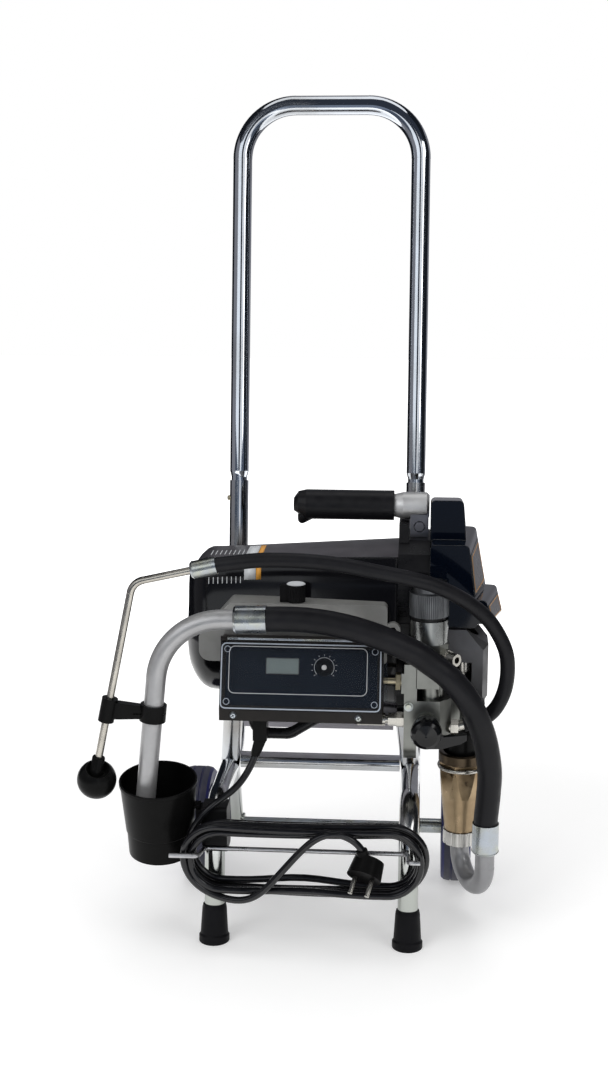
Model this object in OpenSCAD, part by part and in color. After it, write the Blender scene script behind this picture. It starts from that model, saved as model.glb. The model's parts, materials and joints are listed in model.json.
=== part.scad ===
// Airless paint sprayer on a two-wheeled cart with a pull-up handle.
// +X is the pump side, -Y is the front with the control panel, +Z is up.
// Shapes are laid out from the point on the floor midway between the front legs,
// and placed() then moves the whole sprayer to stand centred on its origin.

/* [Cart frame] */
// Outer diameter of the frame and handle tubes
tube_d = 22; // [20:1:25]
// Wall of the frame and handle tubes
tube_wall = 1.5; // [1.2:0.1:2]
// Distance between the two side tubes, centre to centre
track = 209; // [200:1:225]
// Lean of the handle and its sockets from upright, in degrees
lean = 9.6; // [7:0.2:12]
// Lean of the front legs from upright, in degrees
leg_lean = 8.4; // [5:0.2:11]
// Height of the level run of the side tubes
run_h = 145; // [135:1:155]
// Bend radius of the side tubes, at the tube centre
side_bend_r = 45; // [35:1:50]
// Height of the socket mouths that hold the handle
socket_h = 459; // [430:1:480]
// Distance of the socket mouths behind the feet
socket_y = 259.5; // [250:0.5:270]
// Outer diameter of the cross tube
cross_d = 19; // [16:1:22]
// Diameter of the thin bar between the front legs
foot_bar_d = 8; // [6:1:10]
// Height of the thin bar between the front legs
foot_bar_h = 58; // [50:1:70]
// Distance of the rear struts behind the feet, where they cross the run
strut_y = 150; // [140:1:158]
// Thickness of the base plate's sheet
plate_t = 3; // [2:0.5:5]
// Height of the base plate's upper face
plate_h = 214; // [208:1:218]
// Depth of the base plate's turned-down edges
plate_flange = 11; // [8:1:15]

/* [Wheels and feet] */
// Diameter of the wheels
wheel_d = 125; // [115:1:130]
// Width of the wheels
wheel_w = 33; // [25:1:36]
// Distance of the axle behind the feet
axle_y = 179; // [176:1:182]
// Diameter of the axle
axle_d = 8; // [6:0.5:10]
// Running clearance between axle and hubs, on the radius
axle_play = 0.08; // [0.05:0.01:0.1]
// Gap from the inner face of the left wheel to the side tube's centre
wheel_gap_left = 25; // [20:1:30]
// Gap from the inner face of the right wheel to the side tube's centre
wheel_gap_right = 37; // [30:1:40]
// Thickness of the tyres
tyre_t = 15; // [10:1:20]
// Height of the rubber feet
foot_h = 40; // [35:1:45]
// Diameter of the rubber feet at the floor
foot_d = 33; // [31:1:38]

/* [Pull-up handle] */
// Height of the handle above the sockets, along its legs
handle_rise = 439; // [350:1:470]
// Bend radius of the handle's corners
handle_bend_r = 62; // [50:1:80]
// Length of the handle's ends inside the sockets
handle_insert = 125; // [118:1:135]
// Play between handle ends and sockets, on the radius
handle_play = 0.3; // [0.2:0.05:0.5]
// Travel of the handle when it's pulled up
handle_travel = 90; // [60:5:95]
// Diameter of the snap buttons that lock the handle
snap_d = 6; // [5:0.5:8]
// Distance of the snap buttons below the socket mouths
snap_drop = 21; // [15:1:30]

/* [Motor and drive] */
// Height of the motor's axis
motor_h = 318; // [315:1:321]
// Distance of the motor's axis behind the feet
motor_y = 145; // [143:1:147]
// Largest radius of the motor cover, at the drive
cover_r_drive = 95; // [92:1:97]
// Radius of the motor cover near its closed end
cover_r_end = 76; // [70:1:80]
// Left end of the motor cover
cover_x_end = -143; // [-150:1:-138]
// Joint between motor cover and drive housing
drive_x = 88; // [86:1:90]
// Wall of the motor cover and the front cover
cover_wall = 2.5; // [2:0.5:3.5]
// Diameter of the motor inside its cover
motor_can_d = 112; // [90:2:120]
// Diameter of the motor's cooling fan
fan_d = 104; // [80:2:108]
// Number of blades on the cooling fan
fan_blades = 9; // [7:1:11]
// Diameter of the motor shaft
motor_shaft_d = 12; // [10:1:14]
// Joint between drive housing and front cover
gear_x = 122; // [120:1:124]
// Front plane of the drive housing and front cover
gear_front_y = 72; // [71:0.5:74]
// Back plane of the drive housing and front cover
gear_back_y = 200; // [190:1:204]

/* [Carry handle] */
// Outer diameter of the rubber grip
grip_d = 33; // [28:1:36]
// Outer diameter of the tube inside the grip
grip_core_d = 22; // [18:1:24]
// Height of the grip's axis
grip_h = 455; // [450:1:462]
// Distance of the grip's axis behind the feet
grip_y = 140; // [135:1:145]
// Left end of the grip
grip_x_end = -29; // [-40:1:-10]
// Joint between the grip and its bracket
grip_x_root = 82; // [78:1:84]

/* [Pump] */
// Distance of the pump's axis from the cart's middle
pump_x = 161; // [160:0.5:163]
// Distance of the pump's axis behind the feet
pump_y = 97; // [95:1:98]
// Diameter of the displacement rod
rod_d = 12; // [10:1:14]
// Stroke of the displacement rod
rod_stroke = 24; // [16:1:26]
// Play of the displacement rod in its packings, on the radius
rod_play = 0.1; // [0.05:0.01:0.1]
// Outer diameter of the pump cylinder
cylinder_d = 34; // [30:1:38]
// Outer diameter of the lock ring
lock_ring_d = 51; // [48:1:54]
// Width across the flats of the intake housing
intake_af = 43; // [40:1:46]
// Outer diameter of the suction nut
suction_nut_d = 38; // [36:1:39]
// Height of the suction nut's lower face
suction_nut_h = 80; // [76:1:84]

/* [Hoses and fluid tubes] */
// Outer diameter of the suction tube and the suction elbow
suction_tube_d = 21; // [19:0.5:22]
// Wall of the suction tube and the suction elbow
suction_wall = 1.5; // [1:0.1:2]
// Outer diameter of the suction hose
suction_hose_d = 27; // [25:0.5:28]
// Outer diameter of the drain hose
drain_hose_d = 16; // [14:0.5:17]
// Outer diameter of the drain tube
drain_tube_d = 8; // [7:0.5:9]
// Outer diameter of the short pressure hose
pressure_hose_d = 12; // [10:0.5:13]
// Length of the ferrules on the suction hose
ferrule_len = 34; // [30:1:36]
// Length of the ferrule on the drain hose
drain_ferrule_len = 27; // [24:1:30]
// Radius of the drain diffuser's bell
diffuser_r = 22.5; // [18:0.5:23]
// Outer diameter of the strainer on the suction tube
strainer_d = 24; // [23:1:26]

/* [Filter and manifold] */
// Distance of the filter's axis from the cart's middle
filter_x = 122; // [120:1:124]
// Distance of the filter's axis behind the feet
filter_y = 45; // [44:0.5:46]
// Outer diameter of the filter bowl
filter_bowl_d = 41.5; // [38:0.5:42]
// Outer diameter of the knurled filter cap
filter_cap_d = 42; // [40:0.5:42]
// Distance of the pressure sensor behind the feet
sensor_y = 38; // [34:1:40]
// Height of the pressure sensor
sensor_h = 285; // [275:1:292]
// Number of ridges on the filter cap
cap_ridges = 60; // [40:2:70]
// Height of the filter cap's lower face
cap_h = 357; // [355:1:360]
// Length that the filter cap rises when it's unscrewed
cap_lift = 4; // [3:0.5:5]
// Outer diameter of the thread on the outlet nipple
outlet_d = 13.2; // [12:0.1:14]
// Diameter of the bore through the outlet nipple
outlet_bore_d = 7; // [5:0.5:8]
// Diameter of the prime valve's round knob
prime_knob_d = 33; // [30:1:34]

/* [Control box] */
// Width of the control box
box_w = 172; // [168:1:174]
// Left end of the control box
box_x = -97; // [-99:1:-95]
// Height of the control box's underside
box_h = 249; // [247:1:252]
// Height of the control box's top
box_top = 330; // [326:1:332]
// Height of the upright lip below the sloping face
box_lip = 12; // [11:1:14]
// Distance of the sloping face's top edge behind its bottom edge
box_slope = 24; // [20:1:26]
// Back of the control box
box_back_y = 46; // [44:1:47]
// Wall of the control box
box_wall = 3; // [2:0.5:4]
// Depth of the clear cover
clear_depth = 8; // [6:0.5:10]
// Wall of the clear cover
clear_wall = 2; // [1.5:0.5:3]
// Diameter of the clear cover's hinge pin
hinge_pin_d = 2.4; // [2:0.2:3]
// Diameter of the push button on the panel
button_d = 18; // [14:1:20]
// Travel of the push button
button_travel = 1.5; // [1:0.5:2]
// Diameter of the pressure knob
knob_d = 20; // [16:1:22]
// Height of the pressure knob
knob_tall = 19; // [15:1:24]
// Distance of the pressure knob from the cart's middle
knob_x = -20; // [-30:1:-15]

/* [Drip cup] */
// Outer diameter of the drip cup's rim
cup_rim_d = 84; // [78:1:86]
// Outer diameter of the drip cup's floor
cup_floor_d = 70; // [64:1:74]
// Height of the drip cup
cup_tall = 85; // [75:1:90]
// Wall of the drip cup
cup_wall = 2; // [1.5:0.5:3]
// Tilt of the drip cup towards the front, in degrees
cup_tilt = 8; // [6:1:10]

/* [Cord] */
// Diameter of the mains lead
lead_d = 7.5; // [6:0.5:8]
// Diameter of the cord hook's wire
hook_d = 5; // [4:0.5:6]
// Number of loops in the mains lead's hank
hank_loops = 5; // [4:1:5]
// Diameter of the mains plug
plug_d = 37; // [34:1:38]

/* [Hidden] */
$fn = 48;

// Clearance between pieces that are fastened together
seat = 0.1;
// Clearance between pieces that move past each other
move_gap = 0.4;

// ---- Cart frame ----
half_track = track / 2;
tube_r = tube_d / 2;
tube_id = tube_d - 2 * tube_wall;
leg_y0 = -3;
leg_corner = [leg_y0 + tan(leg_lean) * run_h, run_h];
back_corner = [socket_y - tan(lean) * (socket_h - run_h), run_h];
tube_end_h = 5;
side_path = [[leg_y0 + tan(leg_lean) * tube_end_h, tube_end_h], leg_corner, back_corner,
    [socket_y, socket_h]];
plate_under = plate_h - plate_t;
strut_foot = [half_track, strut_y, run_h];
strut_top = [half_track - 7, strut_y - 27, plate_under];
axle_h = wheel_d / 2;
axle_boss_d = axle_d + 9;
axle_boss_w = tube_d + 4;
cross_h = run_h + 5;
cross_end = half_track - tube_r - seat
    - (half_track - strut_top[0]) * (cross_h + cross_d / 2 - run_h) / (plate_under - run_h);
foot_bar_y = leg_y0 + tan(leg_lean) * foot_bar_h;
wheel_left_x = -half_track - wheel_gap_left - wheel_w / 2;
wheel_right_x = half_track + wheel_gap_right + wheel_w / 2;
axle_cap_t = 4;
axle_over = 4;

// ---- Cord hook: a wire across the legs, with its two ends turned forward and outward ----
hook_h = 105;
hook_r = hook_d / 2;
hook_y = leg_y0 + tan(leg_lean) * hook_h - tube_r / cos(leg_lean) - hook_r - seat;
hook_reach = 40;
hook_rise = 8;
hook_post_left = -114;
hook_post_right = 103;
hook_tip_left = -146;
hook_tip_right = 117;
hook_tip_y = hook_y - hook_reach;

// ---- Where the sprayer stands: its outermost points without cord and hoses ----
drain_end = [-227, -6, 198];
drain_top = [-184.5, -6, 398.5];
drain_aim = (drain_end - drain_top) / norm(drain_end - drain_top);
bell_len = 18;
bell_low = drain_end + drain_aim * (bell_len + 6);
low_x = bell_low[0] - diffuser_r * abs(drain_aim[2]);
panel_flare_x = 206;
high_x = panel_flare_x;
low_y = hook_tip_y - hook_r;
handle_bar_y = socket_y + sin(lean) * handle_rise;
high_y = handle_bar_y + tube_r;
stand = [-(low_x + high_x) / 2, -(low_y + high_y) / 2, 0];

// ---- Small helpers ----
function unit(v) = v / norm(v);
function mix(a, b, t) = a + (b - a) * t;

// Children are drawn up the Z axis, and placed from a towards b
module aim(a, b) {
    v = b - a;
    translate(a) rotate([0, acos(v[2] / norm(v)), atan2(v[1], v[0])]) children();
}

// A round bar from a to b
module bar(a, b, d) {
    aim(a, b) cylinder(d = d, h = norm(b - a));
}

// A round tube from a to b
module pipe(a, b, od, id) {
    difference() {
        bar(a, b, od);
        bar(a - unit(b - a), b + unit(b - a), id);
    }
}

module ring(od, id, h) {
    difference() {
        cylinder(d = od, h = h);
        translate([0, 0, -1]) cylinder(d = id, h = h + 2);
    }
}

module hex_bar(af, h) {
    cylinder(d = af / cos(30), h = h, $fn = 6);
}

module both_sides() {
    children();
    mirror([1, 0, 0]) children();
}

// Half the angle between the two runs that meet at corner i
function half_corner(p, i) = acos(unit(p[i - 1] - p[i]) * unit(p[i + 1] - p[i])) / 2;
// Where run i starts and ends, once its corners are rounded to radius r
function run_in(p, i, r) = i == 0 ? p[0] : p[i] + unit(p[i + 1] - p[i]) * r / tan(half_corner(p, i));
function run_out(p, i, r) = i + 2 == len(p) ? p[i + 1]
    : p[i + 1] + unit(p[i] - p[i + 1]) * r / tan(half_corner(p, i + 1));

// A bent round tube in the XY plane along the points p, with bends of radius r.
// The straight runs reach a little into the bends, whose walls are a hair thicker.
lap = 1;
swell = 0.3;

module bent_pipe(p, r, od, id) {
    for (i = [0 : len(p) - 2]) {
        along = unit(p[i + 1] - p[i]);
        a = run_in(p, i, r) - along * (i > 0 ? lap : 0);
        b = run_out(p, i, r) + along * (i + 2 < len(p) ? lap : 0);
        translate(a) rotate([0, 0, atan2(b[1] - a[1], b[0] - a[0])]) rotate([0, 90, 0])
            difference() {
                cylinder(d = od, h = norm(b - a));
                if (id > 0) translate([0, 0, -1]) cylinder(d = id, h = norm(b - a) + 2);
            }
    }
    for (i = [1 : len(p) - 2]) {
        u = unit(p[i - 1] - p[i]);
        w = unit(p[i + 1] - p[i]);
        half = half_corner(p, i);
        centre = p[i] + unit(u + w) * r / sin(half);
        turn = u[0] * w[1] - u[1] * w[0];
        first = turn > 0 ? run_in(p, i, r) : run_out(p, i - 1, r);
        translate(centre) rotate([0, 0, atan2(first[1] - centre[1], first[0] - centre[0])])
            rotate_extrude(angle = 180 - 2 * half) translate([r, 0]) difference() {
                circle(d = od + swell);
                if (id > 0) circle(d = id - swell);
            }
    }
}

// The XY plane stood up along the cart: x becomes Y and y becomes Z, at distance x0
module side_plane(x0) {
    translate([x0, 0, 0]) rotate([90, 0, 90]) children();
}

// The XY plane stood up across the cart: y becomes Z, at distance y0
module front_plane(y0) {
    translate([0, y0, 0]) rotate([90, 0, 0]) children();
}

// ---- Swept round tubes for the hoses and the lead ----
function add(v, i = 0) = i < len(v) ? v[i] + add(v, i + 1) : 0;

// A point at part t of a smooth curve through the points p
function curve(p, t) =
    let (
        n = len(p) - 1,
        s = min(floor(t * n), n - 1),
        f = t * n - s,
        b = p[s],
        c = p[s + 1],
        a = s == 0 ? 2 * b - c : p[s - 1],
        d = s + 2 > n ? 2 * c - b : p[s + 2]
    )
    0.5 * (2 * b + (c - a) * f + (2 * a - 5 * b + 4 * c - d) * f * f
        + (3 * b - a - 3 * c + d) * f * f * f);

function smooth_path(p, rings) = [for (k = [0 : rings]) curve(p, k / rings)];

function path_length(p) = add([for (i = [1 : len(p) - 1]) norm(p[i] - p[i - 1])]);

function tangent(p, i) = unit(p[min(i + 1, len(p) - 1)] - p[max(i - 1, 0)]);

// Carries a sideways direction along the path without twisting it
function carried(p, i, side) =
    let (t = tangent(p, i), s = side - t * (t * side)) unit(s);
function sides(p, first) =
    [for (i = 0, s = carried(p, 0, first); i < len(p);
        s = i + 1 < len(p) ? carried(p, i + 1, s) : s, i = i + 1) s];

// A closed round tube along the rings of p, n sides round, as one polyhedron
module sweep(p, d, n, first) {
    s = sides(p, first);
    m = len(p);
    points = [for (i = [0 : m - 1]) for (k = [0 : n - 1])
        let (t = tangent(p, i), w = cross(t, s[i]), a = 360 * k / n)
        p[i] + (s[i] * cos(a) + w * sin(a)) * d / 2];
    faces = concat(
        [for (i = [0 : m - 2]) for (k = [0 : n - 1])
            [i * n + k, (i + 1) * n + k, i * n + (k + 1) % n]],
        [for (i = [0 : m - 2]) for (k = [0 : n - 1])
            [i * n + (k + 1) % n, (i + 1) * n + k, (i + 1) * n + (k + 1) % n]],
        [for (k = [1 : n - 2]) [0, k, k + 1]],
        [for (k = [1 : n - 2]) [(m - 1) * n, (m - 1) * n + k + 1, (m - 1) * n + k]]);
    polyhedron(points = points, faces = faces);
}

// ======================================================================
// Cart frame
// ======================================================================

// Outline of the level run alone, to cope other tubes against it
module run_core(extra) {
    bar([half_track, leg_corner[0], run_h], [half_track, back_corner[0], run_h], tube_d + extra);
}

module strut_pipe(a, b) {
    difference() {
        bar(a, b + unit(b - a) * 8, tube_d);
        bar(a, b + unit(b - a) * 9, tube_id);
        run_core(-0.6);
    }
}

module side_tube() {
    difference() {
        union() {
            side_plane(half_track) bent_pipe(side_path, side_bend_r, tube_d, tube_id);
            difference() {
                strut_pipe(strut_foot, strut_top);
                translate([0, 0, plate_under]) cube([track, track * 2, 60]);
            }
            difference() {
                strut_pipe(strut_foot, [half_track, axle_y, axle_h]);
                translate([half_track - tube_d, axle_y, axle_h]) rotate([0, 90, 0])
                    cylinder(d = axle_boss_d - 0.6, h = 2 * tube_d);
                translate([0, axle_y - tube_d, axle_h - 20 - axle_boss_d / 4])
                    cube([track, 2 * tube_d, 20]);
            }
            translate([half_track - axle_boss_w / 2, axle_y, axle_h]) rotate([0, 90, 0])
                cylinder(d = axle_boss_d, h = axle_boss_w);
        }
        translate([half_track - axle_boss_w, axle_y, axle_h]) rotate([0, 90, 0])
            cylinder(d = axle_d + 2 * seat, h = 2 * axle_boss_w);
        along_handle() translate([half_track, -snap_drop, 0]) rotate([0, 90, 0])
            cylinder(d = snap_d + 1, h = tube_d);
    }
}

module side_tube_left() {
    color("lightsteelblue") mirror([1, 0, 0]) side_tube();
}

module side_tube_right() {
    color("lightsteelblue") side_tube();
}

module cross_bars() {
    color("silver") {
        pipe([-cross_end, strut_y, cross_h], [cross_end, strut_y, cross_h], cross_d,
            cross_d - 2 * tube_wall);
        difference() {
            bar([-half_track, foot_bar_y, foot_bar_h], [half_track, foot_bar_y, foot_bar_h],
                foot_bar_d);
            both_sides() bar([half_track, leg_y0, 0],
                [half_track, leg_y0 + tan(leg_lean) * run_h, run_h], tube_d + 2 * seat);
            both_sides() translate([half_track, -30, 0]) cube([60, 90, 2 * foot_bar_h]);
        }
    }
}

module axle() {
    color("silver") bar([wheel_left_x - wheel_w / 2 - axle_over, axle_y, axle_h],
        [wheel_right_x + wheel_w / 2 + axle_over, axle_y, axle_h], axle_d);
}

// Push-on caps at the axle's ends, and a spacer tube between each wheel and its boss
module axle_caps() {
    out_left = wheel_left_x - wheel_w / 2 - move_gap - axle_cap_t - 2;
    out_right = wheel_right_x + wheel_w / 2 + move_gap;
    boss = half_track + axle_boss_w / 2 + seat;
    color("dimgray") {
        translate([out_left, axle_y, axle_h]) rotate([0, 90, 0]) axle_cap(true);
        translate([out_right + axle_cap_t + 2, axle_y, axle_h]) rotate([0, -90, 0]) axle_cap(true);
        pipe([-boss, axle_y, axle_h], [wheel_left_x + wheel_w / 2 + move_gap, axle_y, axle_h],
            axle_boss_d, axle_d + 2 * seat);
        pipe([boss, axle_y, axle_h], [wheel_right_x - wheel_w / 2 - move_gap, axle_y, axle_h],
            axle_boss_d, axle_d + 2 * seat);
    }
}

module axle_cap(closed) {
    difference() {
        union() {
            cylinder(d1 = axle_d + 6, d2 = axle_d + 10, h = axle_cap_t / 2);
            translate([0, 0, axle_cap_t / 2]) cylinder(d = axle_d + 10, h = axle_cap_t / 2 + 2);
        }
        translate([0, 0, axle_cap_t / 2 - 0.1]) cylinder(d = axle_d + 2 * seat, h = 20);
    }
}

module cord_hook() {
    reach = norm([hook_reach, hook_rise]);
    color("silver") translate([0, hook_y, hook_h])
        rotate([180 - atan2(hook_rise, hook_reach), 0, 0])
            bent_pipe([[hook_tip_left, reach], [hook_post_left - 2, reach], [hook_post_left, 0],
                [hook_post_right, 0], [hook_post_right + 2, reach], [hook_tip_right, reach]],
                6, hook_d, 0);
}

// Sheet that the drive stands on, notched round the sockets
module base_plate() {
    front = strut_top[1] - tube_r + 2;
    back = 226;
    color("lavender") difference() {
        union() {
            translate([-half_track + 2, front, plate_under])
                cube([track - 4, back - front, plate_t]);
            for (y = [front, back - plate_t]) translate([-half_track + 20, y, plate_h - plate_flange])
                cube([track - 40, plate_t, plate_flange]);
        }
        both_sides() side_plane(half_track) translate([back_corner[0], back_corner[1]])
            rotate([0, 0, 90 - lean]) rotate([0, 90, 0])
                cylinder(d = tube_d + 2 * seat, h = 200);
        both_sides() bar([half_track, socket_y - tan(lean) * (socket_h - run_h), run_h],
            [half_track, socket_y, socket_h], tube_d + 2 * seat);
    }
}

// Flared rubber foot, cut level at the floor
module foot() {
    difference() {
        translate([half_track, leg_y0, 0]) rotate([-leg_lean, 0, 0]) rotate_extrude()
            polygon([[0, -8], [foot_d / 2, -8], [foot_d / 2, 6], [foot_d / 2 - 1.5, 8],
                [tube_r + 2.3, foot_h - 4], [tube_r + 1.4, foot_h], [0, foot_h]]);
        translate([half_track - 40, -40, -40]) cube([80, 80, 40]);
        translate([half_track, leg_y0, 0]) rotate([-leg_lean, 0, 0])
            translate([0, 0, tube_end_h / cos(leg_lean) - 2]) cylinder(d = tube_d + 2 * seat, h = 80);
    }
}

module feet() {
    color("#202020") both_sides() foot();
}

// ======================================================================
// Wheels
// ======================================================================

module tyre() {
    r = wheel_d / 2;
    w = wheel_w / 2;
    rotate([0, 90, 0]) rotate_extrude() difference() {
        polygon([[r - tyre_t, -w + 3], [r - 4, -w], [r - 1.2, -w + 3], [r, -w + 8], [r, w - 8],
            [r - 1.2, w - 3], [r - 4, w], [r - tyre_t, w - 3]]);
        for (x = [-w / 3, w / 3]) translate([r, x]) circle(d = 2, $fn = 16);
    }
}

module hub() {
    rim_r = wheel_d / 2 - tyre_t - seat;
    hub_r = axle_d / 2 + 8;
    w = wheel_w - 6;
    rotate([0, 90, 0]) difference() {
        union() {
            rotate_extrude() polygon([[rim_r - 5, -w / 2], [rim_r, -w / 2], [rim_r, w / 2],
                [rim_r - 5, w / 2], [rim_r - 7, 3], [rim_r - 7, -3]]);
            translate([0, 0, -2.5]) cylinder(r = rim_r - 3, h = 5);
            translate([0, 0, -wheel_w / 2]) cylinder(r = hub_r, h = wheel_w);
            for (k = [0 : 5]) rotate([0, 0, 60 * k]) translate([0, -2, -w / 2 + 2])
                cube([rim_r - 4, 4, w - 4]);
        }
        translate([0, 0, -wheel_w]) cylinder(d = axle_d + 2 * axle_play, h = 2 * wheel_w);
        for (k = [0 : 5]) rotate([0, 0, 60 * k + 30]) translate([(rim_r + hub_r) / 2, 0, -wheel_w])
            cylinder(d = 13, h = 2 * wheel_w);
    }
}

module tyre_left() {
    color("#3a3a3c") translate([wheel_left_x, axle_y, axle_h]) tyre();
}

module tyre_right() {
    color("#3a3a3c") translate([wheel_right_x, axle_y, axle_h]) tyre();
}

module hub_left() {
    color("gray") translate([wheel_left_x, axle_y, axle_h]) hub();
}

module hub_right() {
    color("gray") translate([wheel_right_x, axle_y, axle_h]) hub();
}

// ======================================================================
// Pull-up handle: drawn flat, with Y along its legs, from the socket mouths
// ======================================================================

insert_d = tube_id - 2 * handle_play;
neck_len = 4;
crimp_len = 7;

module along_handle() {
    translate([0, socket_y, socket_h]) rotate([90 - lean, 0, 0]) children();
}

module pull_handle() {
    color("lightsteelblue") along_handle() {
        bent_pipe([[-half_track, neck_len + crimp_len], [-half_track, handle_rise],
            [half_track, handle_rise], [half_track, neck_len + crimp_len]],
            handle_bend_r, tube_d, tube_id);
        both_sides() translate([half_track, 0, 0]) rotate([-90, 0, 0]) difference() {
            union() {
                translate([0, 0, -handle_insert]) cylinder(d = insert_d,
                    h = handle_insert + neck_len);
                translate([0, 0, neck_len]) cylinder(d1 = insert_d, d2 = tube_d, h = crimp_len);
            }
            translate([0, 0, -handle_insert - 1]) cylinder(d = insert_d - 2 * tube_wall,
                h = handle_insert + neck_len + 1);
            translate([0, 0, neck_len - 0.1]) cylinder(d1 = insert_d - 2 * tube_wall,
                d2 = tube_id, h = crimp_len + 0.1);
            translate([0, 0, -snap_drop]) rotate([0, 90, 0]) cylinder(d = snap_d + 0.6, h = tube_d);
        }
    }
}

// Bent leaf spring inside each handle end, with the button that locks it
module snap_springs() {
    r = insert_d / 2 - tube_wall - 0.5;
    low = -snap_drop - 40;
    color("goldenrod") along_handle() both_sides() translate([half_track, 0, 0]) {
        translate([0, 0, -2.3]) linear_extrude(4.6) polygon([[r, -snap_drop + 4], [r - 0.8, -snap_drop + 4],
            [r - 0.8, -snap_drop - 8], [1.6, low + 1], [-1.6, low + 1], [-r + 0.8, -snap_drop - 10],
            [-r + 0.8, -snap_drop], [-r, -snap_drop], [-r, -snap_drop - 10.3], [-2.4, low],
            [2.4, low], [r, -snap_drop - 8.3]]);
        translate([r - 0.2, -snap_drop, 0]) rotate([0, 90, 0]) {
            cylinder(d = snap_d, h = tube_r + 2.2 - r);
            translate([0, 0, tube_r + 2.2 - r]) cylinder(d1 = snap_d, d2 = snap_d - 3, h = 1);
        }
    }
}

// ======================================================================
// Motor and drive
// ======================================================================

// Stack of discs along X that the motor cover is drawn over; in is the distance inside it
module cover_form(in) {
    hull() {
        cover_disc(drive_x + (in > 0 ? 1 : 0), cover_r_drive - in, motor_h, 1);
        cover_disc(drive_x - 60, cover_r_drive - 6 - in, motor_h, 1);
        cover_disc(cover_x_end + 26, cover_r_end - in, motor_h - 5, 1);
        cover_disc(cover_x_end + 9, cover_r_end - 9 - in, motor_h - 7, 1);
        cover_disc(cover_x_end + in, cover_r_end - 26 - in, motor_h - 10, 1);
    }
}

module cover_disc(x, r, z, w) {
    translate([x, motor_y, z]) rotate([0, 90, 0]) cylinder(r = r, h = w, $fn = 48);
}

module motor_cover() {
    color("#141414") difference() {
        cover_form(0);
        cover_form(cover_wall);
        translate([drive_x, motor_y - 150, motor_h - 150]) cube([40, 300, 300]);
        for (k = [-3 : 3]) translate([cover_x_end - 5, motor_y + 9 * k - 2, motor_h - 42])
            cube([20, 4, 64 - 6 * abs(k)]);
    }
}

motor_can_x = -70;
fan_x = -118;

module motor_can() {
    shaft_gap = motor_shaft_d + 2 * rod_play;
    color("dimgray") translate([motor_can_x, motor_y, motor_h]) rotate([0, 90, 0]) difference() {
        union() {
            cylinder(d = motor_can_d, h = drive_x - motor_can_x - seat);
            translate([0, 0, -9]) cylinder(d = 44, h = 10);
        }
        translate([0, 0, -10]) cylinder(d = shaft_gap, h = drive_x - motor_can_x + 20);
        for (k = [0 : 7]) rotate([0, 0, 45 * k]) translate([motor_can_d / 2, 0, -1])
            cylinder(d = 9, h = drive_x - motor_can_x - 20);
    }
}

// Shaft and cooling fan
module motor_rotor() {
    color("silver") translate([0, motor_y, motor_h]) rotate([0, 90, 0]) {
        translate([0, 0, fan_x - 6]) cylinder(d = motor_shaft_d, h = drive_x - fan_x);
        translate([0, 0, fan_x]) cylinder(d = 30, h = 26);
        translate([0, 0, fan_x + 22]) cylinder(d = fan_d, h = 2);
        for (k = [0 : fan_blades - 1]) rotate([0, 0, 360 / fan_blades * k])
            translate([12, -1, fan_x + 4]) cube([fan_d / 2 - 14, 2, 19]);
    }
}

drive_top = grip_h - 15.5;

// Cast gear housing that the motor, the pump and the carry handle are bolted to
module drive_housing() {
    x0 = drive_x + seat;
    color("#2b2b2d") difference() {
        union() {
            side_plane(x0) linear_extrude(gear_x - x0 - seat) polygon([
                [gear_front_y + 8, plate_h + 30], [gear_front_y, plate_h + 44],
                [gear_front_y, 396], [gear_front_y + 14, 412], [grip_y - 27, 422],
                [grip_y + 32, 422], [gear_back_y - 14, 404], [gear_back_y, 388],
                [gear_back_y, plate_h + 24], [gear_back_y - 16, plate_h + seat],
                [gear_front_y + 46, plate_h + seat], [gear_front_y + 46, plate_h + 16]]);
            side_plane(x0) linear_extrude(11) polygon([[grip_y - 34, 420], [grip_y - 28, drive_top],
                [grip_y + 24, drive_top], [grip_y + 30, 420]]);
            translate([x0, gear_front_y + 40, plate_h + seat]) cube([gear_x - x0 - 6, 84, 12]);
            for (z = [300 : 18 : 390]) translate([x0 + 1, gear_front_y - 1.5, z])
                cube([gear_x - x0 - 3, 6, 3]);
        }
        translate([drive_x - 60, motor_y, motor_h]) rotate([0, 90, 0])
            cylinder(d = motor_shaft_d + 8, h = 90);
        translate([gear_x - 9, motor_y, motor_h]) rotate([0, 90, 0]) cylinder(d = 70, h = 20);
    }
}

// Rounded block between two sets of corners: front and back are lists of [x, z]
module draft_block(front, y0, back, y1, r) {
    hull() {
        for (c = front) front_plane(y0 + 2) translate(c) cylinder(r = r, h = 2, $fn = 24);
        for (c = back) front_plane(y1) translate(c) cylinder(r = r, h = 2, $fn = 24);
    }
}

fc_r = 5;
fc_x = gear_x + seat;
fc_top = 426;
fc_low = 340;
fc_step = 366;

module front_cover_form(in) {
    r = fc_r;
    lo = fc_x + r + (in > 0 ? -r : 0);
    y0 = gear_front_y + in;
    y1 = gear_back_y - in;
    draft_block([[lo, fc_top - r - in], [164 - r - in, fc_top - r - in],
        [174 - r - in, fc_step - 26], [lo, fc_step - 26]], y0,
        [[lo, fc_top - 4 - r - in], [175 - r - in, fc_top - 6 - r - in],
        [189 - r - in, fc_step - 26], [lo, fc_step - 26]], y1, r);
    draft_block([[lo, fc_step - r - in], [184 - r - in, fc_step - r - in],
        [188 - r - in, fc_low + r + (in > 0 ? -30 : 0)], [lo, fc_low + r + (in > 0 ? -30 : 0)]], y0,
        [[lo, fc_step - 10 - r - in], [200 - r - in, fc_step - 14 - r - in],
        [panel_flare_x - r - in, 318 + r], [lo, 318 + r + (in > 0 ? -30 : 0)]], y1, r);
    draft_block([[lo, 468 - r - in], [158 - r - in, 468 - r - in],
        [162 - r - in, fc_top - 20], [lo, fc_top - 20]], 104 + in,
        [[lo, 458 - r - in], [158 - r - in, 458 - r - in], [164 - r - in, fc_top - 20],
        [lo, fc_top - 20]], 176 - in, r);
}

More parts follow.
